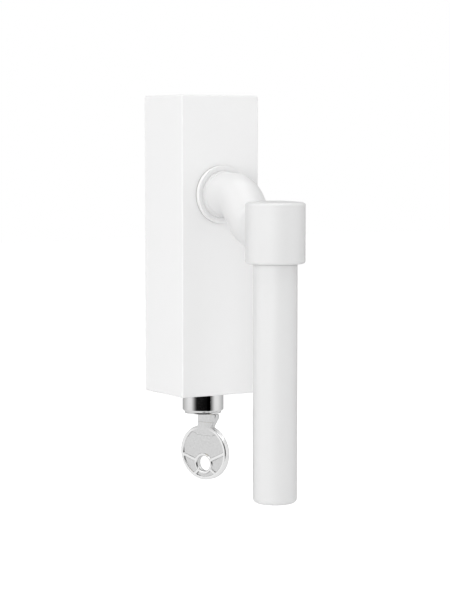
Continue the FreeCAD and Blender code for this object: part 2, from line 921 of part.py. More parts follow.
def lock_plug():
    """Turning plug with the keyway and the wafers' slots."""
    plug = round_z(plug_diameter / 2, 0, 0, (plug_bottom, plug_top))
    keyway_half = blade_width / 2 + keyway_gap
    keyway = box(
        (blade_offset - keyway_half, blade_offset + keyway_half),
        (-blade_thickness / 2 - keyway_gap, blade_thickness / 2 + keyway_gap),
        (plug_bottom - past, blade_top + end_gap),
    )
    tools = [keyway]
    for level in wafer_levels():
        tools.append(box(
            (-plug_diameter, plug_diameter),
            (-wafer_width / 2 - spindle_gap, wafer_width / 2 + spindle_gap),
            (level - spindle_gap, level + wafer_thickness + spindle_gap),
        ))
    return turned_with_key(cut(plug, *tools))


def wafer_tumblers():
    """Thin plates in the plug, each with a window for the key's blade."""
    plates = []
    window_half = blade_width / 2 + key_window_gap
    for level in wafer_levels():
        z = (level, level + wafer_thickness)
        plate = box((-wafer_length / 2, wafer_length / 2), (-wafer_width / 2, wafer_width / 2), z)
        window = box(
            (blade_offset - window_half, blade_offset + window_half),
            (-blade_thickness / 2 - key_window_gap, blade_thickness / 2 + key_window_gap),
            (z[0] - past, z[1] + past),
        )
        plates.append(plate.cut(window).Solids[0])
    return turned_with_key(Part.makeCompound(plates))


def key_blade():
    """Blade with a pointed tip and a row of cuts along one edge."""
    left = blade_offset - blade_width / 2
    right = blade_offset + blade_width / 2
    outline = [
        Vec(left, 0, stem_top),
        Vec(left, 0, blade_top - blade_tip),
        Vec(left + blade_tip, 0, blade_top),
        Vec(right - blade_tip, 0, blade_top),
        Vec(right, 0, blade_top - blade_tip),
        Vec(right, 0, stem_top),
    ]
    blade = Part.Face(Part.makePolygon(outline + outline[:1])).extrude(AXIS_Y * blade_thickness)
    blade.translate(Vec(0, -blade_thickness / 2, 0))
    cuts = []
    for level in wafer_levels():
        middle = level + wafer_thickness / 2
        cuts.append(box(
            (left - past, left + blade_cut_depth),
            (-blade_thickness, blade_thickness),
            (middle - blade_cut_width / 2, middle + blade_cut_width / 2),
        ))
    return blade.cut(cuts)


def key_stem():
    """Stem between barrel and bow; its right side swings in from the shoulder in two equal arcs."""
    wide = stem_right + stem_flare
    flare_top = stem_top - stem_shoulder
    swing = 2 * math.atan2(stem_flare, stem_flare_height)
    radius = stem_flare_height / 2 / math.sin(swing)
    half_x = radius * (1 - math.cos(swing / 2))
    half_z = radius * math.sin(swing / 2)
    start = Vec(wide, 0, flare_top)
    middle = Vec(wide - stem_flare / 2, 0, flare_top - stem_flare_height / 2)
    end = Vec(stem_right, 0, flare_top - stem_flare_height)
    top_left = Vec(-stem_left, 0, stem_top)
    top_right = Vec(wide, 0, stem_top)
    low_left = Vec(-stem_left, 0, bow_height)
    low_right = Vec(stem_right, 0, bow_height)
    edges = [
        Part.LineSegment(top_left, top_right).toShape(),
        Part.LineSegment(top_right, start).toShape(),
        Part.Arc(start, start - Vec(half_x, 0, half_z), middle).toShape(),
        Part.Arc(middle, end + Vec(half_x, 0, half_z), end).toShape(),
        Part.LineSegment(end, low_right).toShape(),
        Part.LineSegment(low_right, low_left).toShape(),
        Part.LineSegment(low_left, top_left).toShape(),
    ]
    stem = Part.Face(Part.Wire(edges)).extrude(AXIS_Y * key_thickness)
    stem.translate(Vec(0, -key_thickness / 2, 0))
    return stem


def key_panels(side):
    """Material to take off one face of the bow: all but rim, tongue, hole ring and ribs."""
    depth = key_panel_depth
    face = side * key_thickness / 2
    y = sorted((face - side * depth, face + side * past))
    field = round_y(bow_radius - bow_rim, bow_offset, y, bow_height)
    tongue_end = bow_height + bow_radius - bow_tongue
    tongue = box((bow_offset - bow_radius, bow_offset + bow_radius), y, (tongue_end, bow_height + bow_radius))
    field = field.cut(tongue)
    keep = [round_y(ring_radius, bow_offset, y, ring_hole_height)]
    for angle in key_rib_angles:
        rib = box((0, bow_diameter), y, (-key_rib_width / 2, key_rib_width / 2))
        rib.rotate(ORIGIN, AXIS_Y, -angle)
        rib.translate(Vec(bow_offset, 0, ring_hole_height))
        keep.append(rib)
    return field.cut(keep)


def key_ring_hole():
    """What the hole for a key ring takes away, wider at both faces."""
    half = key_thickness / 2
    radius = ring_hole_diameter / 2
    profile = [
        (0, -half - past),
        (radius + ring_hole_bevel + past, -half - past),
        (radius, -half + ring_hole_bevel),
        (radius, half - ring_hole_bevel),
        (radius + ring_hole_bevel + past, half + past),
        (0, half + past),
    ]
    return turned(profile, AXIS_Y, Vec(bow_offset, 0, ring_hole_height))


def key():
    """Flat key: blade, stem, and a round bow with sunk panels and a hole for a key ring."""
    half = key_thickness / 2
    flat = bow_radius - bow_edge_chamfer
    profile = [
        (0, -half),
        (flat, -half),
        (bow_radius, -half + bow_edge_chamfer),
        (bow_radius, half - bow_edge_chamfer),
        (flat, half),
        (0, half),
    ]
    bow = turned(profile, AXIS_Y, Vec(bow_offset, 0, bow_height))
    whole = joined(bow, key_stem(), key_blade())
    line = stem_top + key_shoulder_gap - stem_line_below
    tools = [key_ring_hole()]
    for side in (-1, 1):
        tools.append(key_panels(side))
        groove = box(
            (-stem_left - past, stem_right + stem_flare),
            (-stem_line_depth, stem_line_depth),
            (line - stem_line_depth, line + stem_line_depth),
        )
        groove.translate(Vec(0, side * half, 0))
        tools.append(groove)
    return turned_with_key(cut(whole, *tools))


PIECES = [
    cover,
    collar_ring,
    bearing_bush,
    chassis,
    chassis_screws,
    back_plate,
    fixing_screws,
    cover_screw,
    detent_springs,
    lock_stop_pin,
    lock_return_spring,
    neck,
    knuckle,
    grip,
    grip_stud,
    spindle,
    spindle_pin,
    thrust_washer,
    lock_disc,
    detent_cam,
    retaining_ring,
    lock_barrel,
    lock_rod,
    lock_plug,
    wafer_tumblers,
    key,
]

os.makedirs("parts", exist_ok=True)
for make in PIECES:
    shape = make()
    shape.exportStep(f"parts/{make.__name__}.step")
    bounds = shape.BoundBox
    print(
        f"{make.__name__:20s} solids {len(shape.Solids)} valid {shape.isValid()} volume {shape.Volume:9.1f}"
        f"  x {bounds.XMin:6.1f} {bounds.XMax:6.1f}  y {bounds.YMin:6.1f} {bounds.YMax:6.1f}"
        f"  z {bounds.ZMin:7.1f} {bounds.ZMax:7.1f}"
    )
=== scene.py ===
import json
import math

import bmesh
import bpy
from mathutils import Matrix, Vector


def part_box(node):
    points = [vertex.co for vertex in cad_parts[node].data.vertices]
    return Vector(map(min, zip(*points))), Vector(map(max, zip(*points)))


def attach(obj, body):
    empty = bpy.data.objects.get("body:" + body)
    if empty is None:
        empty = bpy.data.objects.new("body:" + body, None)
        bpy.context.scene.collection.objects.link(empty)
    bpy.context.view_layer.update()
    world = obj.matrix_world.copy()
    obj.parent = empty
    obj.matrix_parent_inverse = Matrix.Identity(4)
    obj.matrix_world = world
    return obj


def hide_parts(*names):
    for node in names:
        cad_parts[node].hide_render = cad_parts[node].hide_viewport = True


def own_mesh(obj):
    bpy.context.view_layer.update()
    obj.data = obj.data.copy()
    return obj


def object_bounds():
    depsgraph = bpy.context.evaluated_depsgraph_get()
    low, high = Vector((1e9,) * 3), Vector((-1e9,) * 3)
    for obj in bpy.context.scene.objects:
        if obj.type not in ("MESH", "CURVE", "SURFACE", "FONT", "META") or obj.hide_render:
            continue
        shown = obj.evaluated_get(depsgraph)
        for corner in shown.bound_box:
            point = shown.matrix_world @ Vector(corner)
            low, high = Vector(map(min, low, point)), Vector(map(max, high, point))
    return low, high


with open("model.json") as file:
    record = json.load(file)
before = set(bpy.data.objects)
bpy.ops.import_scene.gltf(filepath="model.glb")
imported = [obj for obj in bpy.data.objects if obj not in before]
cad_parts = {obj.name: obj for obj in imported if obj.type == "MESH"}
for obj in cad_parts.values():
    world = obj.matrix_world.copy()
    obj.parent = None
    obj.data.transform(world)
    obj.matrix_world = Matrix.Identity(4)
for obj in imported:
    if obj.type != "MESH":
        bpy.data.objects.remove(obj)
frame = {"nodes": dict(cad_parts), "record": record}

# Lockable tilt-and-turn window handle. Metres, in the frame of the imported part:
# origin on the spindle's axis in the window's plane, +Z up, the user stands towards -Y.

MM = 0.001
cad_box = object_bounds()

# Camera, at the photograph's angle
CAMERA_PLACE = Vector((-0.4944, -0.8501, 0.0250))
CAMERA_HEADING = 31.36
CAMERA_PITCH = 4.45
CAMERA_LENS = 122.95
CAMERA_SENSOR = 36.0
CAMERA_REACH = 50.0

# Floor, world and lamps; a lamp has a name, a place, a width, a height and a power
WHITE = (1.0, 1.0, 1.0)
BLACK = (0.0, 0.0, 0.0)
FLOOR_DROP = 0.215
FLOOR_SIZE = 12.0
FLOOR_COLOR = (0.86, 0.86, 0.86)
FLOOR_ROUGHNESS = 0.9
FLOOR_GLOW = 0.82
AMBIENT_LEVEL = 0.26
LAMP_AIM = (0.0, -0.03, -0.04)
LAMPS = (
    ("window_left", (-1.5, 0.3, 0.5), 1.4, 1.6, 6.8),
    ("window_low", (-1.3, -0.9, -0.02), 1.2, 0.6, 4.7),
    ("window_front", (-1.2, -1.3, 0.3), 1.4, 1.6, 10.4),
    ("window_right", (0.9, -1.5, 0.4), 1.4, 1.6, 4.5),
    ("fill_right", (1.6, -0.5, 0.3), 1.4, 1.6, 6.6),
    ("overhead", (0.0, -0.3, 1.6), 1.6, 1.6, 14.5),
)

# Round wall on a floor card, which only mirror-like surfaces see. CLEAR, DARK and BACK are shares of the
# radius towards the camera: the glow falls from CLEAR to DARK, and from the middle back to BACK.
SURROUND_RADIUS = 1.30
SURROUND_HEIGHT = 1.10
SURROUND_LIFT = 0.002
SURROUND_STEPS = 96
SURROUND_GLOW = 0.97
SURROUND_DARK_GLOW = 0.004
SURROUND_CLEAR = 0.30
SURROUND_DARK = 0.85
SURROUND_BACK = -0.80
SURROUND_BACK_SHARE = 0.55
SURROUND_FLOOR_SHARE = 0.92
SURROUND_CORNER = 0.05

# Black card between grip and lock, which only mirror-like surfaces see too: a painted dark reflection in
# the barrel, in place of the grip's shaded back
CARD_Y = -68.0 * MM
CARD_LEFT = -8.8 * MM
CARD_RIGHT = 7.0 * MM
CARD_LOW = -130.0 * MM
CARD_HIGH = -96.0 * MM

# Lathe, arcs, coils and smoothing
TURNED_SEGMENTS = 128
ARC_STEPS = 8
BEND_STEPS = 48
COIL_STEPS = 48
RIM_STEPS = 4
RIM_ANGLE = 60.0
SMOOTH_ANGLE = 32.0
SAME_PLACE = 1e-7

# Numbers of flats
SQUARE = 4
HEXAGON = 6

# Lever
KNUCKLE_CROWN = 0.7 * MM
KNUCKLE_ROUNDING = 1.35 * MM
GRIP_END_ROUNDING = 2.3 * MM
GRIP_SEAM = 0.35 * MM
NECK_RADIUS = 10.2 * MM
NECK_FLARE = 0.30 * MM
NECK_RING = 0.40 * MM
NECK_RING_LENGTH = 2.6 * MM
NECK_RING_EDGE = 0.30 * MM
NECK_FOOT = -36.93 * MM
FLARE_POWER = 1.6
NECK_STUB_END = -46.2 * MM
NECK_BEND_RADIUS = 10.9 * MM
NECK_BEND_ANGLE = 49.0
NECK_DROP = 14.3 * MM
NECK_END = -88.0 * MM
NECK_STEP = 0.15 * MM
NECK_EDGE = 0.05 * MM

# Hub behind the neck
HUB_SHOULDER = -36.3 * MM
HUB_RADIUS = 8.0 * MM
HUB_FLATS = 6.5 * MM
HUB_FLATS_FRONT = -25.9 * MM
HUB_FLATS_BACK = -9.9 * MM
HUB_GROOVE = 5.8 * MM
HUB_GROOVE_WIDTH = 1.1 * MM
HUB_GROOVE_BACK = -8.7 * MM
HUB_BACK = -7.8 * MM
SOCKET_HALF = 3.55 * MM
SOCKET_FRONT = -33.9 * MM
HUB_IN_NECK = 1.0 * MM

# Fixing screws
SCREW_SPACING = 43.0 * MM
SCREW_CREST = 2.5 * MM
SCREW_CORE = 2.05 * MM
SCREW_SHANK = 2.2 * MM
SCREW_HEAD = 4.7 * MM
SCREW_PITCH = 0.8 * MM
SCREW_CHAMFER = 0.8 * MM
SCREW_THREAD_START = 3.3 * MM
SCREW_HEX = 1.5 * MM
SCREW_HEX_DEPTH = 2.0 * MM
THREAD_SIDES = 4

# Return spring round the lock's rod
SPRING_RADIUS = 6.05 * MM
SPRING_WIRE = 0.45 * MM
SPRING_TURNS = 4.0
SPRING_SIDES = 12

# Collar
COLLAR_HEIGHT = 3.0 * MM
COLLAR_DISH = 1.35 * MM
COLLAR_ROUNDING = 0.15 * MM
COLLAR_GAP = 0.8 * MM
COLLAR_GAP_DEPTH = 0.70 * MM
COLLAR_BORE = 10.28 * MM
COLLAR_SEAT = 9.33 * MM
COLLAR_SPIGOT = 11.91 * MM

# Painted shade in the joint between collar and case
JOINT_RADIUS = 13.55 * MM
JOINT_FRONT = -35.75 * MM
JOINT_SOFTNESS = 0.10 * MM
JOINT_PAINTED_SHADE = (0.66, 0.66, 0.65)

# Lock barrel
BARREL_BORE = 6.86 * MM
BARREL_MOUTH = 6.2 * MM
BARREL_MOUTH_ROUNDING = 0.15 * MM
BARREL_LIP = 1.2 * MM
BARREL_NOSE = 8.6 * MM
BARREL_NOSE_HEIGHT = 0.70 * MM
BARREL_NOSE_ROUNDING = 0.06 * MM
BARREL_BEVEL = 0.95 * MM
BARREL_BEVEL_ROUNDING = 0.40 * MM
GROOVE_DEPTH = 1.8 * MM
GROOVE_HALF = 1.56 * MM
GROOVE_LOW = 15.44 * MM
GROOVE_HIGH = 25.56 * MM

# Key, in its own plane: X across, Z up, measured from the lock's axis
LOCK_DEPTH = 18.8 * MM
KEY_TURNED = 20.0
KEY_HALF = 1.6 * MM
BOW_RADIUS = 13.0 * MM
BOW_OFFSET = 1.25 * MM
BOW_STRETCH = 1.06
BOW_EDGE = 0.6 * MM
BOW_RIM = 1.4 * MM
BOW_TONGUE = 4.4 * MM
RING_HOLE_BELOW = 5.3 * MM
RING_HOLE = 3.55 * MM
RING_HOLE_EDGE = 0.8 * MM
RING_RIM = 1.15 * MM
PANEL_DEPTH = 0.55 * MM
PANEL_SLOPE = 0.40 * MM
RIB_HALF = 0.5 * MM
RIB_ANGLES = (26.0, 163.0, 228.0, 328.0)
TONGUE_SHIFT = 0.8 * MM
TONGUE_HALF = 4.3 * MM
TONGUE_RISE = 0.45
BOW_COLUMNS = 320
BOW_ROWS = 100
STEM_GAP = 0.3 * MM
STEM_LEFT = 2.05 * MM
STEM_RIGHT = 6.1 * MM
STEM_FLARE = 2.7 * MM
STEM_SHOULDER = 1.0 * MM
STEM_FLARE_HEIGHT = 6.0 * MM
STEM_HALF = 1.57 * MM
STEM_EDGE = 0.25 * MM
STEM_ROUNDING = 0.35 * MM
STEM_LINE_BELOW = 4.3 * MM
STEM_LINE = 0.10 * MM
STEM_STEPS = 24
BLADE_LENGTH = 22.5 * MM
BLADE_OFFSET = 1.4 * MM
BLADE_WIDTH = 8.0 * MM
BLADE_HALF = 1.0 * MM
BLADE_TIP = 2.0 * MM
BLADE_CUT = 0.9 * MM
BLADE_CUT_WIDTH = 1.6 * MM
BLADE_ROUNDING = 0.12 * MM
WAFER_COUNT = 5
WAFER_FIRST = 5.75 * MM
WAFER_PITCH = 4.2 * MM

# Painted highlight on the raised relief of the key's bow: depths under its face where a place counts as
# sunk and as raised, and the directions out of the face and across the bow
RELIEF_SUNK = 0.40 * MM
RELIEF_RAISED = 0.12 * MM
RELIEF_SOFTNESS = 0.3 * MM
KEY_FACING = (math.cos(math.radians(KEY_TURNED)), math.sin(math.radians(KEY_TURNED)), 0.0)
KEY_ACROSS = (math.sin(math.radians(KEY_TURNED)), -math.cos(math.radians(KEY_TURNED)), 0.0)

# Colours of the finishes
WHITE_LACQUER = (0.885, 0.885, 0.885)
GRIP_LACQUER = (0.76, 0.76, 0.76)
CHROME = (0.76, 0.76, 0.76)
NICKEL = (0.76, 0.76, 0.76)
# painted highlight: lighter nickel for the raised relief of the key's bow
NICKEL_PAINTED_HIGHLIGHT = (0.86, 0.86, 0.86)
PLUG_BRASS = (0.72, 0.62, 0.40)
WAFER_BRASS = (0.72, 0.58, 0.32)
CAST_ZINC = (0.60, 0.61, 0.63)
PLATED_STEEL = (0.60, 0.60, 0.62)
SPRING_STEEL = (0.42, 0.42, 0.45)
NYLON = (0.86, 0.85, 0.80)

# Coated, cast and moulded finishes: how metallic, the colour, its shade in the grain, roughness, gloss
# change, broad and fine grain per metre, share of the fine grain, strength and height of the bumps
GRAINED = {
    "white_lacquer": (0.0, WHITE_LACQUER, 0.985, 0.36, 0.05, 40.0, 1400.0, 0.6, 0.10, 0.00002),
    "white_lacquer_grip": (0.0, GRIP_LACQUER, 0.985, 0.32, 0.05, 45.0, 1500.0, 0.6, 0.10, 0.00002),
    "nickel_plate": (1.0, NICKEL, 0.78, 0.21, 0.10, 1300.0, 4500.0, 0.4, 0.30, 0.00002),
    "cast_zinc": (1.0, CAST_ZINC, 0.85, 0.45, 0.18, 180.0, 2500.0, 0.5, 0.35, 0.00005),
    "plain_nylon": (0.0, NYLON, 0.95, 0.42, 0.06, 120.0, 1800.0, 0.5, 0.2, 0.00003),
}

# Turned, drawn and brushed metals: colour, roughness, gloss change, lines per metre across and along
# their run, strength and height of the bumps
LINED = {
    "bright_chrome": (CHROME, 0.05, 0.03, 5000.0, 80.0, 0.03, 0.000002),
    "plug_brass": (PLUG_BRASS, 0.28, 0.10, 4000.0, 80.0, 0.2, 0.00001),
    "wafer_brass": (WAFER_BRASS, 0.33, 0.12, 300.0, 3000.0, 0.3, 0.00001),
    "bright_steel": (PLATED_STEEL, 0.30, 0.12, 900.0, 900.0, 0.25, 0.00001),
    "spring_steel": (SPRING_STEEL, 0.34, 0.10, 2500.0, 200.0, 0.2, 0.00001),
}

# Detail of the noise that makes broad grain, fine grain and tool lines
BROAD_DETAIL = 3.0
FINE_DETAIL = 4.0
LINE_DETAIL = 2.0

# Places of factor, colours and result among the sockets of a colour mix
MIX_INPUTS = (0, 6, 7)
MIX_RESULT = 2


# Mesh helpers

def add_object(name, data):
    """New object in the scene with the given mesh, lamp or camera."""
    thing = bpy.data.objects.new(name, data)
    bpy.context.scene.collection.objects.link(thing)
    return thing


def smooth(mesh):
    """Smooth shading that keeps the sharp edges."""
    mesh.shade_smooth()
    mesh.set_sharp_from_angle(angle=math.radians(SMOOTH_ANGLE))


def new_piece(name, vertices, faces):
    """Mesh object whose place is in its mesh; its doubles are merged and its faces point outwards."""
    mesh = bpy.data.meshes.new(name)
    mesh.from_pydata(vertices, [], faces)
    work = bmesh.new()
    work.from_mesh(mesh)
    bmesh.ops.remove_doubles(work, verts=work.verts, dist=SAME_PLACE)
    bmesh.ops.recalc_face_normals(work, faces=work.faces)
    work.to_mesh(mesh)
    work.free()
    smooth(mesh)
    return add_object(name, mesh)


def settle(piece, body, node):
    """Gives the piece its finish, lets it move with its body and puts it in the place of the node."""
    slot = next(part["material_slot"] for part in frame["record"]["subparts"] if part["node"] == node)
    piece.data.materials.clear()
    piece.data.materials.append(FINISHES[slot])
    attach(piece, body)
    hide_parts(node)


def rounded(corners):
    """Outline through the corners (radius, distance, rounding); each rounding becomes an arc."""
    outline = []
    for index, (radius, along, rounding) in enumerate(corners):
        here = Vector((radius, along))
        if rounding == 0:
            outline.append((radius, along))
            continue
        back = (Vector(corners[index - 1][:2]) - here).normalized()
        ahead = (Vector(corners[(index + 1) % len(corners)][:2]) - here).normalized()
        half = back.angle(ahead) / 2
        middle = here + (back + ahead).normalized() * rounding / math.sin(half)
        start = here + back * rounding / math.tan(half) - middle
        end = here + ahead * rounding / math.tan(half) - middle
        first = math.atan2(start.y, start.x)
        turn = math.remainder(math.atan2(end.y, end.x) - first, math.tau)
        for step in range(ARC_STEPS + 1):
            angle = first + turn * step / ARC_STEPS
            outline.append((middle.x + rounding * math.cos(angle), middle.y + rounding * math.sin(angle)))
    return outline


def skin(rings, closed):
    """Vertices and faces over rings of equally many points; closed joins the last ring to the first."""
    count = len(rings[0])
    vertices = [point for ring in rings for point in ring]
    faces = []
    for row in range(len(rings) if closed else len(rings) - 1):
        low = row * count
        high = (row + 1) % len(rings) * count
        for step in range(count):
            after = (step + 1) % count
            faces.append((low + step, low + after, high + after, high + step))
    if not closed:
        last = (len(rings) - 1) * count
        faces.append(tuple(range(count)))
        faces.append(tuple(range(last, last + count)))
    return vertices, faces


def turned_rings(outline, place):
    """Rings of a lathe-turned piece; place turns (across, across, along) into a point of the frame.

    Two more numbers at an outline's point cut the ring to so many flats at that distance from the axis.
    """
    rings = []
    for radius, along, *flats in outline:
        ring = []
        for step in range(TURNED_SEGMENTS):
            angle = math.tau * step / TURNED_SEGMENTS
            reach = radius
            if flats:
                sides, half = flats
                lean = math.remainder(angle, math.tau / sides)
                reach = min(radius, half / math.cos(lean))
            ring.append(place(reach * math.cos(angle), reach * math.sin(angle), along))
        rings.append(ring)
    return rings


def turned(name, outline, place, closed=False):
    """Lathe-turned piece; a closed outline runs round the section of a ring."""
    return new_piece(name, *skin(turned_rings(outline, place), closed))


def upright_at(y):
    """Places a turned piece that stands on Z at the given depth."""
    return lambda u, v, along: (u, y + v, along)


def level_at(z):
    """Places a turned piece whose axis lies along Y at the given height."""
    return lambda u, v, along: (u, along, z + v)


# Node helpers

def feed(tree, node, links):
    """Feeds the node's inputs, by name or number, from other sockets or with plain values."""
    for name, value in links.items():
        socket = node.inputs[name]
        if isinstance(value, bpy.types.NodeSocket):
            tree.links.new(value, socket)
        elif socket.type == "RGBA":
            socket.default_value = (*value, 1.0)
        else:
            socket.default_value = value


def wired(tree, kind, links, **settings):
    """New node with its settings made and its inputs fed."""
    node = tree.nodes.new(kind)
    for name, value in settings.items():
        setattr(node, name, value)
    feed(tree, node, links)
    return node


def math_node(tree, operation, *values):
    """Result of a math node."""
    return wired(tree, "ShaderNodeMath", dict(enumerate(values)), operation=operation).outputs["Value"]


def ranged(tree, value, start, end, low, high, interpolation="LINEAR"):
    """Maps a value from start-end to low-high."""
    span = wired(tree, "ShaderNodeMapRange", {
        "Value": value, "From Min": start, "From Max": end, "To Min": low, "To Max": high,
    }, interpolation_type=interpolation)
    return span.outputs["Result"]


# Geometry node trees

def node_tree(name, inputs):
    """Geometry node tree with named inputs, and its input and output nodes."""
    tree = bpy.data.node_groups.new(name, "GeometryNodeTree")
    tree.interface.new_socket(name="Geometry", in_out="INPUT", socket_type="NodeSocketGeometry")
    for socket_name, kind in inputs:
        tree.interface.new_socket(name=socket_name, in_out="INPUT", socket_type="NodeSocket" + kind)
    tree.interface.new_socket(name="Geometry", in_out="OUTPUT", socket_type="NodeSocketGeometry")
    return tree, tree.nodes.new("NodeGroupInput").outputs, tree.nodes.new("NodeGroupOutput")


def finish_tree(tree, geometry, material, result):
    """Ends the tree in one real mesh with its material."""
    real = wired(tree, "GeometryNodeRealizeInstances", {"Geometry": geometry})
    dressed = wired(tree, "GeometryNodeSetMaterial", {
        "Geometry": real.outputs["Geometry"], "Material": material,
    })
    feed(tree, result, {"Geometry": dressed.outputs["Geometry"]})


def grown(name, points, edges, tree, values, edge_rounding=0.0):
    """Plain mesh object that the tree grows from a few points; its sharp rims can be rounded."""
    seed = bpy.data.meshes.new(name + "_seed")
    seed.from_pydata(points, edges, [])
    source = add_object(name + "_seed", seed)
    modifier = source.modifiers.new("grow", "NODES")
    modifier.node_group = tree
    for item in tree.interface.items_tree:
        if item.in_out == "INPUT" and item.name in values:
            modifier[item.identifier] = values[item.name]
    if edge_rounding:
        bevel = source.modifiers.new("rims", "BEVEL")
        bevel.width = edge_rounding
        bevel.segments = RIM_STEPS
        bevel.limit_method = "ANGLE"
        bevel.angle_limit = math.radians(RIM_ANGLE)
    evaluated = source.evaluated_get(bpy.context.evaluated_depsgraph_get())
    mesh = bpy.data.meshes.new_from_object(evaluated)
    mesh.name = name
    bpy.data.objects.remove(source)
    smooth(mesh)
    return add_object(name, mesh)


# Pieces of the lever

def make_knuckle():
    """Thick cylinder with rounded rims and a slightly domed top."""
    low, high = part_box("knuckle")
    radius = (high[0] - low[0]) / 2
    rim = high[2] - KNUCKLE_CROWN
    flat = radius - KNUCKLE_ROUNDING
    outline = rounded([
        (0, low[2], 0),
        (radius, low[2], KNUCKLE_ROUNDING),
        (radius, rim, KNUCKLE_ROUNDING),
        (0, rim, 0),
    ])[:-1]
    for step in range(1, ARC_STEPS + 1):
        share = 1 - step / ARC_STEPS
        outline.append((flat * share, rim + KNUCKLE_CROWN * (1 - share ** 2)))
    return turned("knuckle_body", outline, upright_at((low[1] + high[1]) / 2))


def make_grip():
    """Slim grip with a rounded end and a fine seam under the knuckle."""
    low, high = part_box("grip")
    radius = (high[0] - low[0]) / 2
    outline = rounded([
        (0, low[2], 0),
        (radius, low[2], GRIP_END_ROUNDING),
        (radius, high[2] - GRIP_SEAM, GRIP_SEAM / 4),
        (radius - GRIP_SEAM, high[2] - GRIP_SEAM, 0),
        (radius - GRIP_SEAM, high[2], 0),
        (0, high[2], 0),
    ])
    return turned("grip_body", outline, upright_at((low[1] + high[1]) / 2))


def make_neck_tree():
    """Tube swept along a path with rounded corners; its start flares out and carries a low ring."""
    tree, given, result = node_tree("neck_sweep", [
        ("Radius", "Float"), ("Flare", "Float"), ("Flare length", "Float"), ("Ring", "Float"),
        ("Ring length", "Float"), ("Ring end", "Float"), ("Bend radius", "Float"), ("Step", "Float"),
        ("Segments", "Int"), ("Material", "Material"),
    ])
    path = wired(tree, "GeometryNodeMeshToCurve", {"Mesh": given["Geometry"]})
    bent = wired(tree, "GeometryNodeFilletCurve", {
        "Curve": path.outputs["Curve"], "Count": BEND_STEPS, "Radius": given["Bend radius"],
    }, mode="POLY")
    even = wired(tree, "GeometryNodeResampleCurve", {
        "Curve": bent.outputs["Curve"], "Length": given["Step"],
    }, mode="LENGTH")
    along = tree.nodes.new("GeometryNodeSplineParameter").outputs["Length"]
    left = ranged(tree, along, 0.0, given["Flare length"], 1.0, 0.0)
    flare = math_node(tree, "MULTIPLY", math_node(tree, "POWER", left, FLARE_POWER), given["Flare"])
    ring = ranged(tree, along, given["Ring length"], given["Ring end"], given["Ring"], 0.0, "SMOOTHSTEP")
    share = math_node(tree, "DIVIDE", math_node(tree, "ADD", flare, ring), given["Radius"])
    scale = math_node(tree, "ADD", share, 1.0)
    section = wired(tree, "GeometryNodeCurvePrimitiveCircle", {
        "Resolution": given["Segments"], "Radius": given["Radius"],
    })
    tube = wired(tree, "GeometryNodeCurveToMesh", {
        "Curve": even.outputs["Curve"], "Profile Curve": section.outputs["Curve"], "Scale": scale,
        "Fill Caps": True,
    })
    finish_tree(tree, tube.outputs["Mesh"], given["Material"], result)
    return tree


def make_neck():
    """Neck from the collar's dish down and forward into the knuckle."""
    turn = math.radians(NECK_BEND_ANGLE)
    reach = NECK_BEND_RADIUS * math.tan(turn / 2)
    first = NECK_STUB_END - reach
    second = first - NECK_DROP / math.tan(turn)
    points = [
        (0, NECK_FOOT, 0),
        (0, first, 0),
        (0, second, -NECK_DROP),
        (0, NECK_END, -NECK_DROP),
    ]
    return grown("neck_tube", points, [(0, 1), (1, 2), (2, 3)], make_neck_tree(), {
        "Radius": NECK_RADIUS,
        "Flare": NECK_FLARE,
        "Flare length": NECK_FOOT - NECK_STUB_END,
        "Ring": NECK_RING,
        "Ring length": NECK_RING_LENGTH,
        "Ring end": NECK_RING_LENGTH + NECK_RING_EDGE,
        "Bend radius": NECK_BEND_RADIUS,
        "Step": NECK_STEP,
        "Segments": TURNED_SEGMENTS,
        "Material": FINISHES["white_lacquer_grip"],
    }, NECK_EDGE)


def make_hub():
    """Round shank behind the neck with four flats, the ring's groove and a square socket."""
    groove_front = HUB_GROOVE_BACK - HUB_GROOVE_WIDTH
    outline = [
        (0, NECK_FOOT - HUB_IN_NECK),
        (NECK_RADIUS, NECK_FOOT - HUB_IN_NECK),
        (NECK_RADIUS, HUB_SHOULDER),
        (HUB_RADIUS, HUB_SHOULDER),
        (HUB_RADIUS, HUB_FLATS_FRONT),
        (HUB_RADIUS, HUB_FLATS_FRONT, SQUARE, HUB_FLATS),
        (HUB_RADIUS, HUB_FLATS_BACK, SQUARE, HUB_FLATS),
        (HUB_FLATS, HUB_FLATS_BACK),
        (HUB_FLATS, groove_front),
        (HUB_GROOVE, groove_front),
        (HUB_GROOVE, HUB_GROOVE_BACK),
        (HUB_FLATS, HUB_GROOVE_BACK),
        (HUB_FLATS, HUB_BACK),
        (HUB_RADIUS, HUB_BACK, SQUARE, SOCKET_HALF),
        (HUB_RADIUS, SOCKET_FRONT, SQUARE, SOCKET_HALF),
        (0, SOCKET_FRONT),
    ]
    return turned("neck_hub", outline, level_at(0.0))


# Fixing screws and return spring

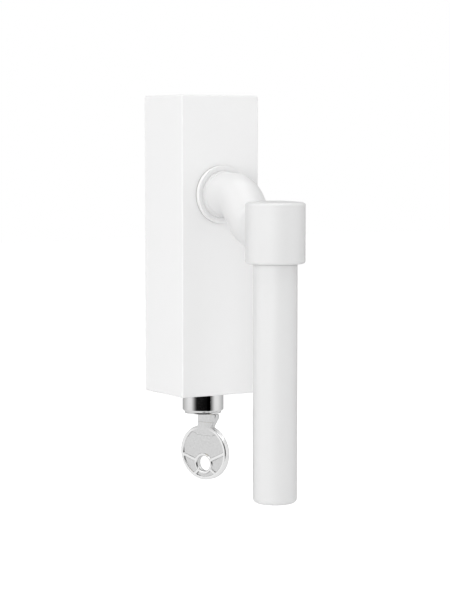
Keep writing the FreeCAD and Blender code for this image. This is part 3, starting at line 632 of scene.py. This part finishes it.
def make_coil_tree():
    """Helix of wire, turned as asked and set on each of the given points."""
    tree, given, result = node_tree("coil", [
        ("Coil radius", "Float"), ("Wire radius", "Float"), ("Wire sides", "Int"), ("Height", "Float"),
        ("Turns", "Float"), ("Steps", "Int"), ("Turned", "Vector"), ("Material", "Material"),
    ])
    helix = wired(tree, "GeometryNodeCurveSpiral", {
        "Resolution": given["Steps"], "Rotations": given["Turns"], "Start Radius": given["Coil radius"],
        "End Radius": given["Coil radius"], "Height": given["Height"],
    })
    upright = wired(tree, "GeometryNodeSetCurveNormal", {"Curve": helix.outputs["Curve"]}, mode="Z_UP")
    section = wired(tree, "GeometryNodeCurvePrimitiveCircle", {
        "Resolution": given["Wire sides"], "Radius": given["Wire radius"],
    })
    wire = wired(tree, "GeometryNodeCurveToMesh", {
        "Curve": upright.outputs["Curve"], "Profile Curve": section.outputs["Curve"], "Fill Caps": True,
    })
    laid = wired(tree, "GeometryNodeTransform", {
        "Geometry": wire.outputs["Mesh"], "Rotation": given["Turned"],
    })
    placed = wired(tree, "GeometryNodeInstanceOnPoints", {
        "Points": given["Geometry"], "Instance": laid.outputs["Geometry"],
    })
    finish_tree(tree, placed.outputs["Instances"], given["Material"], result)
    return tree


def make_screws():
    """Bodies of both countersunk screws with their hexagon sockets, and the threads on them."""
    low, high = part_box("fixing_screws")
    head = low[1]
    tip = high[1]
    neck_y = head + SCREW_HEAD - SCREW_SHANK
    outline = [
        (0, head + SCREW_HEX_DEPTH),
        (SCREW_HEAD, head + SCREW_HEX_DEPTH, HEXAGON, SCREW_HEX),
        (SCREW_HEAD, head, HEXAGON, SCREW_HEX),
        (SCREW_HEAD, head),
        (SCREW_SHANK, neck_y),
        (SCREW_SHANK, SCREW_THREAD_START),
        (SCREW_CORE, SCREW_THREAD_START),
        (SCREW_CORE, tip - SCREW_CHAMFER),
        (SCREW_CREST - SCREW_CHAMFER, tip),
        (0, tip),
    ]
    pieces = []
    for side, name in ((1, "upper"), (-1, "lower")):
        pieces.append(turned("screw_" + name, outline, level_at(side * SCREW_SPACING / 2)))
    ridge = SCREW_CREST - SCREW_CORE
    height = tip - SCREW_CHAMFER - SCREW_THREAD_START - 2 * ridge
    starts = [(0, SCREW_THREAD_START + ridge, side * SCREW_SPACING / 2) for side in (1, -1)]
    pieces.append(grown("screw_threads", starts, [], make_coil_tree(), {
        "Coil radius": SCREW_CORE,
        "Wire radius": ridge,
        "Wire sides": THREAD_SIDES,
        "Height": height,
        "Turns": height / SCREW_PITCH,
        "Steps": COIL_STEPS,
        "Turned": (-math.pi / 2, 0.0, 0.0),
        "Material": FINISHES["bright_steel"],
    }))
    return pieces


def make_spring():
    """Coil round the lock's rod."""
    low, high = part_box("lock_return_spring")
    first = low[2] + SPRING_WIRE
    spring = grown("return_spring", [(0, -LOCK_DEPTH, first)], [], make_coil_tree(), {
        "Coil radius": SPRING_RADIUS,
        "Wire radius": SPRING_WIRE,
        "Wire sides": SPRING_SIDES,
        "Height": high[2] - SPRING_WIRE - first,
        "Turns": SPRING_TURNS,
        "Steps": COIL_STEPS,
        "Turned": (0.0, 0.0, 0.0),
        "Material": FINISHES["spring_steel"],
    })
    settle(spring, "base", "lock_return_spring")
    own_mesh(spring)


# Collar and lock barrel

def make_collar():
    """Dished ring with a fine undercut where it stands on the case, and its spigot behind."""
    low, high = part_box("collar_ring")
    radius = (high[0] - low[0]) / 2
    front = low[1]
    face = front + COLLAR_HEIGHT
    outline = rounded([
        (COLLAR_BORE, front + COLLAR_DISH, COLLAR_ROUNDING / 2),
        (radius, front, COLLAR_ROUNDING),
        (radius, face - COLLAR_GAP, COLLAR_ROUNDING / 2),
        (radius - COLLAR_GAP_DEPTH, face - COLLAR_GAP, 0),
        (radius - COLLAR_GAP_DEPTH, face, 0),
        (COLLAR_SPIGOT, face, 0),
        (COLLAR_SPIGOT, high[1], 0),
        (COLLAR_SEAT, high[1], 0),
        (COLLAR_SEAT, face, 0),
        (COLLAR_BORE, face, 0),
    ])
    return turned("collar_body", outline, level_at(0.0), closed=True)


def make_barrel():
    """Polished barrel with a bevelled nose, an open mouth and the stop pin's groove."""
    low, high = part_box("lock_barrel")
    radius = (high[0] - low[0]) / 2
    bottom = low[2]
    groove = [(radius, bottom + GROOVE_LOW), (radius, bottom + GROOVE_HIGH)]
    nose_top = bottom + BARREL_NOSE_HEIGHT
    lower = rounded([
        (BARREL_MOUTH, bottom + BARREL_LIP, 0),
        (BARREL_MOUTH, bottom, BARREL_MOUTH_ROUNDING),
        (BARREL_NOSE, bottom, BARREL_NOSE_ROUNDING),
        (BARREL_NOSE, nose_top, BARREL_NOSE_ROUNDING),
        (radius, nose_top + BARREL_BEVEL, BARREL_BEVEL_ROUNDING),
        (radius, high[2], 0),
    ])[:-1]
    upper = [(radius, high[2]), (BARREL_BORE, high[2]), (BARREL_BORE, bottom + BARREL_LIP)]
    outline = [(point, False) for point in lower]
    outline += [(groove[0], False), (groove[0], True), (groove[1], True), (groove[1], False)]
    outline += [(point, False) for point in upper]
    edge = math.asin(GROOVE_HALF / radius)
    columns = []
    for step in range(TURNED_SEGMENTS + 1):
        columns.append((edge + (math.tau - 2 * edge) * step / TURNED_SEGMENTS, False))
    for step in range(ARC_STEPS + 1):
        columns.append((-edge + 2 * edge * step / ARC_STEPS, True))
    floor = radius - GROOVE_DEPTH
    rings = []
    for (across, along), ring_sunk in outline:
        ring = []
        for angle, column_sunk in columns:
            x = floor if ring_sunk and column_sunk else across * math.cos(angle)
            ring.append((x, -LOCK_DEPTH + across * math.sin(angle), along))
        rings.append(ring)
    return new_piece("barrel_body", *skin(rings, True))


# Key

def key_place(x, y, z):
    """A point of the key's own plane in the frame."""
    angle = math.radians(KEY_TURNED - 90)
    return (
        x * math.cos(angle) - y * math.sin(angle),
        -LOCK_DEPTH + x * math.sin(angle) + y * math.cos(angle),
        z,
    )


def eased(value):
    """Smooth step from 0 to 1."""
    value = min(max(value, 0.0), 1.0)
    return value * value * (3 - 2 * value)


def bow_sink(x, z, bow_z):
    """How far the bow's face is sunk at a point: everywhere but on rim, tongue, hole ring and ribs."""
    hole_z = bow_z - RING_HOLE_BELOW
    from_rim = BOW_RADIUS - BOW_RIM - math.hypot(x - BOW_OFFSET, z - bow_z)
    from_hole = math.hypot(x - BOW_OFFSET, z - hole_z)
    from_ring = from_hole - RING_HOLE - RING_RIM
    beside = max(abs(x - BOW_OFFSET - TONGUE_SHIFT) - TONGUE_HALF, 0.0)
    from_tongue = bow_z + BOW_RADIUS - BOW_TONGUE + beside * TONGUE_RISE - z
    room = min(from_rim, from_ring, from_tongue)
    for angle in RIB_ANGLES:
        along = (math.cos(math.radians(angle)), math.sin(math.radians(angle)))
        ahead = (x - BOW_OFFSET) * along[0] + (z - hole_z) * along[1]
        aside = abs((x - BOW_OFFSET) * along[1] - (z - hole_z) * along[0])
        if ahead > 0:
            room = min(room, aside - RIB_HALF)
    return PANEL_DEPTH * eased(room / PANEL_SLOPE)


def bow_rings(bow_z):
    """Closed rows of points round the bow: hole wall, one face, outer edge, other face."""
    hole_z = bow_z - RING_HOLE_BELOW
    angles = [math.tau * step / BOW_COLUMNS for step in range(BOW_COLUMNS)]

    def circle(radius, centre_z):
        return [(BOW_OFFSET + radius * math.cos(a), centre_z + radius * math.sin(a)) for a in angles]

    face = []
    for step in range(ARC_STEPS + 1):
        turn = math.pi / 2 * step / ARC_STEPS
        radius = RING_HOLE + RING_HOLE_EDGE * (1 - math.cos(turn))
        height = KEY_HALF - RING_HOLE_EDGE * (1 - math.sin(turn))
        face.append([(x, height, z) for x, z in circle(radius, hole_z)])
    inner = circle(RING_HOLE + RING_HOLE_EDGE, hole_z)
    outer = circle(BOW_RADIUS - BOW_EDGE, bow_z)
    for row in range(1, BOW_ROWS):
        share = row / BOW_ROWS
        ring = []
        for (x0, z0), (x1, z1) in zip(inner, outer):
            x = x0 + (x1 - x0) * share
            z = z0 + (z1 - z0) * share
            ring.append((x, KEY_HALF - bow_sink(x, z, bow_z), z))
        face.append(ring)
    for step in range(ARC_STEPS + 1):
        turn = math.pi / 2 * step / ARC_STEPS
        radius = BOW_RADIUS - BOW_EDGE * (1 - math.sin(turn))
        height = KEY_HALF - BOW_EDGE * (1 - math.cos(turn))
        face.append([(x, height, z) for x, z in circle(radius, bow_z)])
    other = [[(x, -height, z) for x, height, z in ring] for ring in reversed(face)]
    rings = []
    for ring in face + other:
        rings.append([key_place(BOW_OFFSET + (x - BOW_OFFSET) * BOW_STRETCH, y, z) for x, y, z in ring])
    return rings


def strip_ring(left, right, half, z, rounding):
    """Cross-section of a flat bar with rounded edges, as points round it."""
    ring = []
    corners = ((right, half, 0), (left, half, 90), (left, -half, 180), (right, -half, 270))
    for x, y, start in corners:
        centre_x = x - rounding if x == right else x + rounding
        centre_y = y - rounding if y == half else y + rounding
        for step in range(ARC_STEPS // 2 + 1):
            angle = math.radians(start + 90 * step / (ARC_STEPS // 2))
            ring.append((centre_x + rounding * math.cos(angle), centre_y + rounding * math.sin(angle), z))
    return [key_place(*point) for point in ring]


def stem_rings(barrel_low, bow_z):
    """Stem from the shoulder down into the bow; its right side swings in from the shoulder."""
    top = barrel_low - STEM_GAP
    line = barrel_low - STEM_LINE_BELOW
    end = bow_z + BOW_RADIUS - BOW_TONGUE + STEM_GAP * 2
    levels = [top, top - STEM_EDGE]
    for step in range(STEM_STEPS + 1):
        levels.append(top - STEM_SHOULDER - STEM_FLARE_HEIGHT * step / STEM_STEPS)
    levels += [line - STEM_LINE, line, line + STEM_LINE, end]
    rings = []
    for z in sorted(set(levels), reverse=True):
        share = (top - STEM_SHOULDER - z) / STEM_FLARE_HEIGHT
        right = STEM_RIGHT + STEM_FLARE * (1 - eased(share))
        inset = STEM_EDGE if z == top else 0.0
        half = STEM_HALF - inset - (STEM_LINE if z == line else 0.0)
        rings.append(strip_ring(-STEM_LEFT + inset, right - inset, half, z, STEM_ROUNDING))
    return rings


def blade_rings(barrel_low):
    """Blade inside the plug: pointed tip and a row of cuts along one edge."""
    top = barrel_low + BLADE_LENGTH
    left = BLADE_OFFSET - BLADE_WIDTH / 2
    right = BLADE_OFFSET + BLADE_WIDTH / 2
    sections = [(top, left + BLADE_TIP, right - BLADE_TIP), (top - BLADE_TIP, left, right)]
    for index in reversed(range(WAFER_COUNT)):
        middle = barrel_low + WAFER_FIRST + WAFER_PITCH * index
        high = middle + BLADE_CUT_WIDTH / 2
        low = middle - BLADE_CUT_WIDTH / 2
        sections += [(high, left, right), (high, left + BLADE_CUT, right), (low, left + BLADE_CUT, right),
                     (low, left, right)]
    sections.append((barrel_low - STEM_GAP * 2, left, right))
    return [strip_ring(low, high, BLADE_HALF, z, BLADE_ROUNDING) for z, low, high in sections]


def make_key():
    """Key: blade, stem, and a round bow with sunk panels and a rounded edge."""
    bow_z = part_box("key")[0][2] + BOW_RADIUS
    barrel_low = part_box("lock_barrel")[0][2]
    vertices, faces = skin(bow_rings(bow_z), True)
    for rings in (stem_rings(barrel_low, bow_z), blade_rings(barrel_low)):
        more_vertices, more_faces = skin(rings, False)
        start = len(vertices)
        vertices += more_vertices
        faces += [tuple(start + index for index in face) for face in more_faces]
    return new_piece("key_body", vertices, faces)


# Finishes

def new_material(name):
    """Material with an empty tree but for its output and one Principled shader."""
    material = bpy.data.materials.new(name)
    material.use_nodes = True
    tree = material.node_tree
    tree.nodes.clear()
    shader = tree.nodes.new("ShaderNodeBsdfPrincipled")
    wired(tree, "ShaderNodeOutputMaterial", {"Surface": shader.outputs["BSDF"]})
    return material, tree, shader


def new_group(name, inputs, outputs):
    """Shader node group with its given sockets and its result; inputs are (name, value)."""
    group = bpy.data.node_groups.new(name, "ShaderNodeTree")
    for socket_name, value in inputs:
        kind = "NodeSocketColor" if isinstance(value, tuple) else "NodeSocketFloat"
        socket = group.interface.new_socket(name=socket_name, in_out="INPUT", socket_type=kind)
        socket.default_value = (*value, 1.0) if isinstance(value, tuple) else value
    for socket_name in outputs:
        kind = "NodeSocketColor" if socket_name == "Color" else "NodeSocketFloat"
        group.interface.new_socket(name=socket_name, in_out="OUTPUT", socket_type=kind)
    return group, group.nodes.new("NodeGroupInput").outputs, group.nodes.new("NodeGroupOutput")


def use_group(tree, group, **values):
    """The outputs of the group as a node; a value's name has _ for each space."""
    links = {name.replace("_", " ").capitalize(): value for name, value in values.items()}
    return wired(tree, "ShaderNodeGroup", links, node_tree=group).outputs


def blend(tree, factor, first, second):
    """Mix of two colours."""
    links = dict(zip(MIX_INPUTS, (factor, first, second)))
    return wired(tree, "ShaderNodeMix", links, data_type="RGBA").outputs[MIX_RESULT]


def noise(tree, place, scale, detail):
    """Noise from 0 to 1."""
    cloud = wired(tree, "ShaderNodeTexNoise", {"Vector": place, "Scale": scale, "Detail": detail})
    return cloud.outputs["Fac"]


def rest_place(tree):
    """Where a point of the piece lies in the frame at rest."""
    return tree.nodes.new("ShaderNodeTexCoord").outputs["Object"]


def axes_of(tree, place):
    """The three coordinates of a place."""
    return wired(tree, "ShaderNodeSeparateXYZ", {"Vector": place}).outputs


def hypotenuse(tree, first, second):
    """Length of the straight line across two sides at a right angle."""
    squares = [math_node(tree, "POWER", side, 2.0) for side in (first, second)]
    return math_node(tree, "SQRT", math_node(tree, "ADD", *squares))


def varied_gloss(tree, given, pattern):
    """Roughness that goes up and down with a pattern from 0 to 1."""
    change = math_node(tree, "MULTIPLY", given["Gloss change"], math_node(tree, "SUBTRACT", pattern, 0.5))
    return math_node(tree, "ADD", given["Roughness"], change)


def make_surface_grain():
    """Fine unevenness of a coated or cast surface: a tint, a gloss change and a height."""
    group, given, result = new_group(
        "surface_grain",
        [("Color", (0.8, 0.8, 0.8)), ("Shade", 0.97), ("Roughness", 0.4), ("Gloss change", 0.05),
         ("Broad scale", 60.0), ("Fine scale", 1500.0), ("Fine share", 0.5)],
        ("Color", "Roughness", "Height"),
    )
    place = rest_place(group)
    broad = noise(group, place, given["Broad scale"], BROAD_DETAIL)
    fine = noise(group, place, given["Fine scale"], FINE_DETAIL)
    shaded = wired(group, "ShaderNodeVectorMath", {
        0: given["Color"], "Scale": given["Shade"],
    }, operation="SCALE").outputs["Vector"]
    broad_share = math_node(group, "SUBTRACT", 1.0, given["Fine share"])
    low = math_node(group, "MULTIPLY", broad, broad_share)
    high = math_node(group, "MULTIPLY", fine, given["Fine share"])
    feed(group, result, {
        "Color": blend(group, broad, shaded, given["Color"]),
        "Roughness": varied_gloss(group, given, fine),
        "Height": math_node(group, "ADD", low, high),
    })
    return group


def make_tool_lines():
    """Fine lines that a turning tool or a brush leaves across one axis, as a height and a gloss change."""
    group, given, result = new_group(
        "tool_lines",
        [("Pitch scale", 4000.0), ("Along scale", 60.0), ("Roughness", 0.2), ("Gloss change", 0.1)],
        ("Roughness", "Height"),
    )
    axes = axes_of(group, rest_place(group))
    stretched = wired(group, "ShaderNodeCombineXYZ", {
        axis: math_node(group, "MULTIPLY", axes[axis], given[scale])
        for axis, scale in (("X", "Along scale"), ("Y", "Along scale"), ("Z", "Pitch scale"))
    })
    lines = noise(group, stretched.outputs["Vector"], 1.0, LINE_DETAIL)
    feed(group, result, {"Roughness": varied_gloss(group, given, lines), "Height": lines})
    return group


def make_painted_joint_shade():
    """Painted shade in the narrow joint under a ring round the spindle's axis, as a mask."""
    group, given, result = new_group(
        "painted_joint_shade",
        [("Radius", JOINT_RADIUS), ("Front", JOINT_FRONT), ("Softness", JOINT_SOFTNESS)],
        ("Mask",),
    )
    axes = axes_of(group, rest_place(group))
    inside = math_node(group, "SUBTRACT", given["Radius"], hypotenuse(group, axes["X"], axes["Z"]))
    behind = math_node(group, "SUBTRACT", axes["Y"], given["Front"])
    depth = math_node(group, "DIVIDE", math_node(group, "MINIMUM", inside, behind), given["Softness"])
    feed(group, result, {"Mask": ranged(group, depth, 0.0, 1.0, 0.0, 1.0)})
    return group


def bump(tree, height, strength, distance):
    """Normal of a surface with fine bumps."""
    bumps = {"Height": height, "Strength": strength, "Distance": distance}
    return wired(tree, "ShaderNodeBump", bumps).outputs["Normal"]


def grained(name, metallic, color, shade, roughness, gloss_change, broad, fine, fine_share,
            strength, height):
    """Coated, cast or moulded finish with a fine grain."""
    material, tree, shader = new_material(name)
    grain = use_group(
        tree, surface_grain, color=color, shade=shade, roughness=roughness, gloss_change=gloss_change,
        broad_scale=broad, fine_scale=fine, fine_share=fine_share,
    )
    feed(tree, shader, {
        "Base Color": grain["Color"], "Roughness": grain["Roughness"], "Metallic": metallic,
        "Normal": bump(tree, grain["Height"], strength, height),
    })
    return material


def lined(name, color, roughness, gloss_change, pitch, along, strength, height):
    """Bare metal with the fine lines of turning, drawing or brushing."""
    material, tree, shader = new_material(name)
    lines = use_group(
        tree, tool_lines, pitch_scale=pitch, along_scale=along, roughness=roughness,
        gloss_change=gloss_change,
    )
    feed(tree, shader, {
        "Base Color": color, "Roughness": lines["Roughness"], "Metallic": 1.0,
        "Normal": bump(tree, lines["Height"], strength, height),
    })
    return material


def painted_joint_shade_mask(tree):
    """Painted shade in the joint between collar and case."""
    return use_group(tree, painted_joint_shade)["Mask"]


def painted_highlight_mask(tree):
    """Painted highlight on rim, ribs and ring of the key's bow, without its sunk panels, its tongue and
    its stem.
    """
    bow_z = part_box("key")[0][2] + BOW_RADIUS
    place = wired(tree, "ShaderNodeVectorMath", {
        0: rest_place(tree), 1: key_place(BOW_OFFSET, 0, bow_z),
    }, operation="SUBTRACT").outputs["Vector"]
    height, across, up = (
        wired(tree, "ShaderNodeVectorMath", {0: place, 1: way}, operation="DOT_PRODUCT").outputs["Value"]
        for way in (KEY_FACING, KEY_ACROSS, (0.0, 0.0, 1.0))
    )
    radius = hypotenuse(tree, math_node(tree, "DIVIDE", across, BOW_STRETCH), up)
    raised = ranged(
        tree, math_node(tree, "ABSOLUTE", height), KEY_HALF - RELIEF_SUNK, KEY_HALF - RELIEF_RAISED,
        0.0, 1.0, "SMOOTHSTEP")
    tongue = BOW_RADIUS - BOW_TONGUE
    below_tongue = ranged(tree, up, tongue - RELIEF_SOFTNESS, tongue + RELIEF_SOFTNESS, 1.0, 0.0)
    inner_rim = BOW_RADIUS - BOW_RIM
    rim = ranged(tree, radius, inner_rim - RELIEF_SOFTNESS, inner_rim + RELIEF_SOFTNESS, 0.0, 1.0)
    below_stem = ranged(tree, up, inner_rim - BOW_RIM, inner_rim, 1.0, 0.0)
    return math_node(
        tree, "MAXIMUM", math_node(tree, "MULTIPLY", raised, below_tongue),
        math_node(tree, "MULTIPLY", rim, below_stem))


def tint(material, make_mask, color):
    """Lays a colour over the finish where the mask is 1."""
    tree = material.node_tree
    shader = next(node for node in tree.nodes if node.type == "BSDF_PRINCIPLED")
    plain = shader.inputs["Base Color"].links[0].from_socket
    feed(tree, shader, {"Base Color": blend(tree, make_mask(tree), plain, color)})


surface_grain = make_surface_grain()
tool_lines = make_tool_lines()
painted_joint_shade = make_painted_joint_shade()
FINISHES = {name: grained(name, *values) for name, values in GRAINED.items()}
FINISHES.update({name: lined(name, *values) for name, values in LINED.items()})
# painted shade: the case's lacquer is darkened in the joint under the collar
tint(FINISHES["white_lacquer"], painted_joint_shade_mask, JOINT_PAINTED_SHADE)
# painted highlight: the raised relief of the key's bow is given a lighter nickel
tint(FINISHES["nickel_plate"], painted_highlight_mask, NICKEL_PAINTED_HIGHLIGHT)


def dress_nodes():
    """Gives every carried-over node the finish of its material slot."""
    slots = {part["node"]: part["material_slot"] for part in frame["record"]["subparts"]}
    for node, solid in frame["nodes"].items():
        finish = FINISHES[slots[node]]
        for material_slot in solid.material_slots:
            material_slot.material = finish
        if not solid.material_slots:
            solid.data.materials.append(finish)


# Stage: camera, floor, world and lamps

def make_camera():
    """Camera at the photograph's angle."""
    lens = bpy.data.cameras.new("camera")
    lens.lens = CAMERA_LENS
    lens.sensor_width = CAMERA_SENSOR
    lens.sensor_fit = "AUTO"
    lens.clip_end = CAMERA_REACH
    camera = add_object("camera", lens)
    heading = math.radians(CAMERA_HEADING)
    pitch = math.radians(CAMERA_PITCH)
    sight = Vector((
        math.sin(heading) * math.cos(pitch), math.cos(heading) * math.cos(pitch), -math.sin(pitch)
    ))
    camera.location = CAMERA_PLACE
    camera.rotation_euler = sight.to_track_quat("-Z", "Y").to_euler()
    bpy.context.scene.camera = camera


def covered(name, vertices, faces, material):
    """New object of flat faces, all of one material."""
    mesh = bpy.data.meshes.new(name)
    mesh.from_pydata(vertices, [], faces)
    mesh.materials.append(material)
    return add_object(name, mesh)


def seen_directly(tree, seen, unseen):
    """One value for what the camera, a mirror or glass sees, and another for light on matt surfaces."""
    path = tree.nodes.new("ShaderNodeLightPath").outputs
    either = math_node(tree, "MAXIMUM", path["Is Camera Ray"], path["Is Glossy Ray"])
    any_of_them = math_node(tree, "MAXIMUM", either, path["Is Transmission Ray"])
    return ranged(tree, any_of_them, 0.0, 1.0, unseen, seen)


def make_floor():
    """Pale floor below the handle, clear from below; it keeps the handle's shadow."""
    low = cad_box[0][2] - FLOOR_DROP
    half = FLOOR_SIZE / 2
    corners = [(-half, -half, low), (half, -half, low), (half, half, low), (-half, half, low)]
    material, tree, shader = new_material("pale_floor")
    feed(tree, shader, {
        "Base Color": FLOOR_COLOR, "Roughness": FLOOR_ROUGHNESS, "Specular IOR Level": 0.0,
        "Emission Color": WHITE, "Emission Strength": seen_directly(tree, FLOOR_GLOW, 0.0),
    })
    from_below = tree.nodes.new("ShaderNodeNewGeometry").outputs["Backfacing"]
    clear = tree.nodes.new("ShaderNodeBsdfTransparent").outputs["BSDF"]
    choice = wired(tree, "ShaderNodeMixShader", {"Fac": from_below, 1: shader.outputs["BSDF"], 2: clear})
    feed(tree, tree.nodes["Material Output"], {"Surface": choice.outputs["Shader"]})
    floor = covered("floor", corners, [(0, 1, 2, 3)], material)


def make_world():
    """White to the camera and in mirrors, and a low even light on everything else."""
    world = bpy.data.worlds.new("studio")
    world.use_nodes = True
    tree = world.node_tree
    feed(tree, tree.nodes["Background"], {
        "Color": WHITE, "Strength": seen_directly(tree, 1.0, AMBIENT_LEVEL),
    })
    bpy.context.scene.world = world


def make_softbox(name, place, width, height, power):
    """Large soft lamp that looks at the handle."""
    light = bpy.data.lights.new(name, "AREA")
    light.shape = "RECTANGLE"
    light.size = width
    light.size_y = height
    light.energy = power
    lamp = add_object(name, light)
    lamp.location = place
    lamp.rotation_euler = (Vector(LAMP_AIM) - Vector(place)).to_track_quat("-Z", "Y").to_euler()


def mirrored_only(name, vertices, faces, material):
    """Card of the stage that shows in mirror-like surfaces alone."""
    card = covered(name, vertices, faces, material)
    card.visible_camera = False
    card.visible_diffuse = False
    card.visible_shadow = False


def glowing(name):
    """Black material that gives off white light once its strength is fed."""
    material, tree, shader = new_material(name)
    feed(tree, shader, {
        "Base Color": BLACK, "Roughness": 1.0, "Specular IOR Level": 0.0,
        "Emission Color": WHITE, "Emission Strength": 0.0,
    })
    return material, tree, shader


def make_surround():
    """Round wall on a floor card: dark towards the camera, bright at its sides, dimmer at the back."""
    low = cad_box[0][2] - FLOOR_DROP + SURROUND_LIFT
    vertices = [(0, 0, low)]
    faces = []
    for step in range(SURROUND_STEPS):
        angle = math.tau * step / SURROUND_STEPS
        x = SURROUND_RADIUS * math.cos(angle)
        y = SURROUND_RADIUS * math.sin(angle)
        vertices += [(x, y, low), (x, y, low + SURROUND_HEIGHT)]
        here = 1 + 2 * step
        after = 1 + 2 * ((step + 1) % SURROUND_STEPS)
        faces += [(0, here, after), (here, here + 1, after + 1, after)]
    material, tree, shader = glowing("surround")
    axes = axes_of(tree, rest_place(tree))
    camera_side = math.atan2(CAMERA_PLACE.y, CAMERA_PLACE.x)
    forth = math_node(tree, "MULTIPLY", axes["X"], math.cos(camera_side) / SURROUND_RADIUS)
    aside = math_node(tree, "MULTIPLY", axes["Y"], math.sin(camera_side) / SURROUND_RADIUS)
    facing = math_node(tree, "ADD", forth, aside)
    front = ranged(
        tree, facing, SURROUND_CLEAR, SURROUND_DARK, SURROUND_GLOW, SURROUND_DARK_GLOW, "SMOOTHSTEP")
    back = ranged(tree, facing, SURROUND_BACK, 0.0, SURROUND_BACK_SHARE, 1.0)
    floor = ranged(tree, axes["Z"], low, low + SURROUND_CORNER, SURROUND_FLOOR_SHARE, 1.0)
    glow = math_node(tree, "MULTIPLY", math_node(tree, "MULTIPLY", front, back), floor)
    feed(tree, shader, {"Emission Strength": glow})
    mirrored_only("surround", vertices, faces, material)


def make_card():
    """Keeps the grip's pale back out of the barrel's reflection, as in the photograph."""
    corners = [
        (CARD_LEFT, CARD_Y, CARD_LOW),
        (CARD_RIGHT, CARD_Y, CARD_LOW),
        (CARD_RIGHT, CARD_Y, CARD_HIGH),
        (CARD_LEFT, CARD_Y, CARD_HIGH),
    ]
    mirrored_only("black_card", corners, [(0, 1, 2, 3)], glowing("black_card")[0])


def make_stage():
    """Everything round the handle that isn't part of it."""
    bpy.context.scene.view_settings.view_transform = "Standard"
    make_camera()
    make_floor()
    make_world()
    make_surround()
    make_card()
    for lamp in LAMPS:
        make_softbox(*lamp)


def make_pieces():
    """Finer pieces in the place of eight nodes."""
    settle(make_knuckle(), "lever", "knuckle")
    settle(make_grip(), "lever", "grip")
    settle(make_neck(), "lever", "neck")
    settle(make_hub(), "lever", "neck")
    settle(make_collar(), "base", "collar_ring")
    settle(make_barrel(), "lock_barrel", "lock_barrel")
    settle(make_key(), "key", "key")
    for piece in make_screws():
        settle(piece, "base", "fixing_screws")
    make_spring()


make_stage()
make_pieces()
dress_nodes()
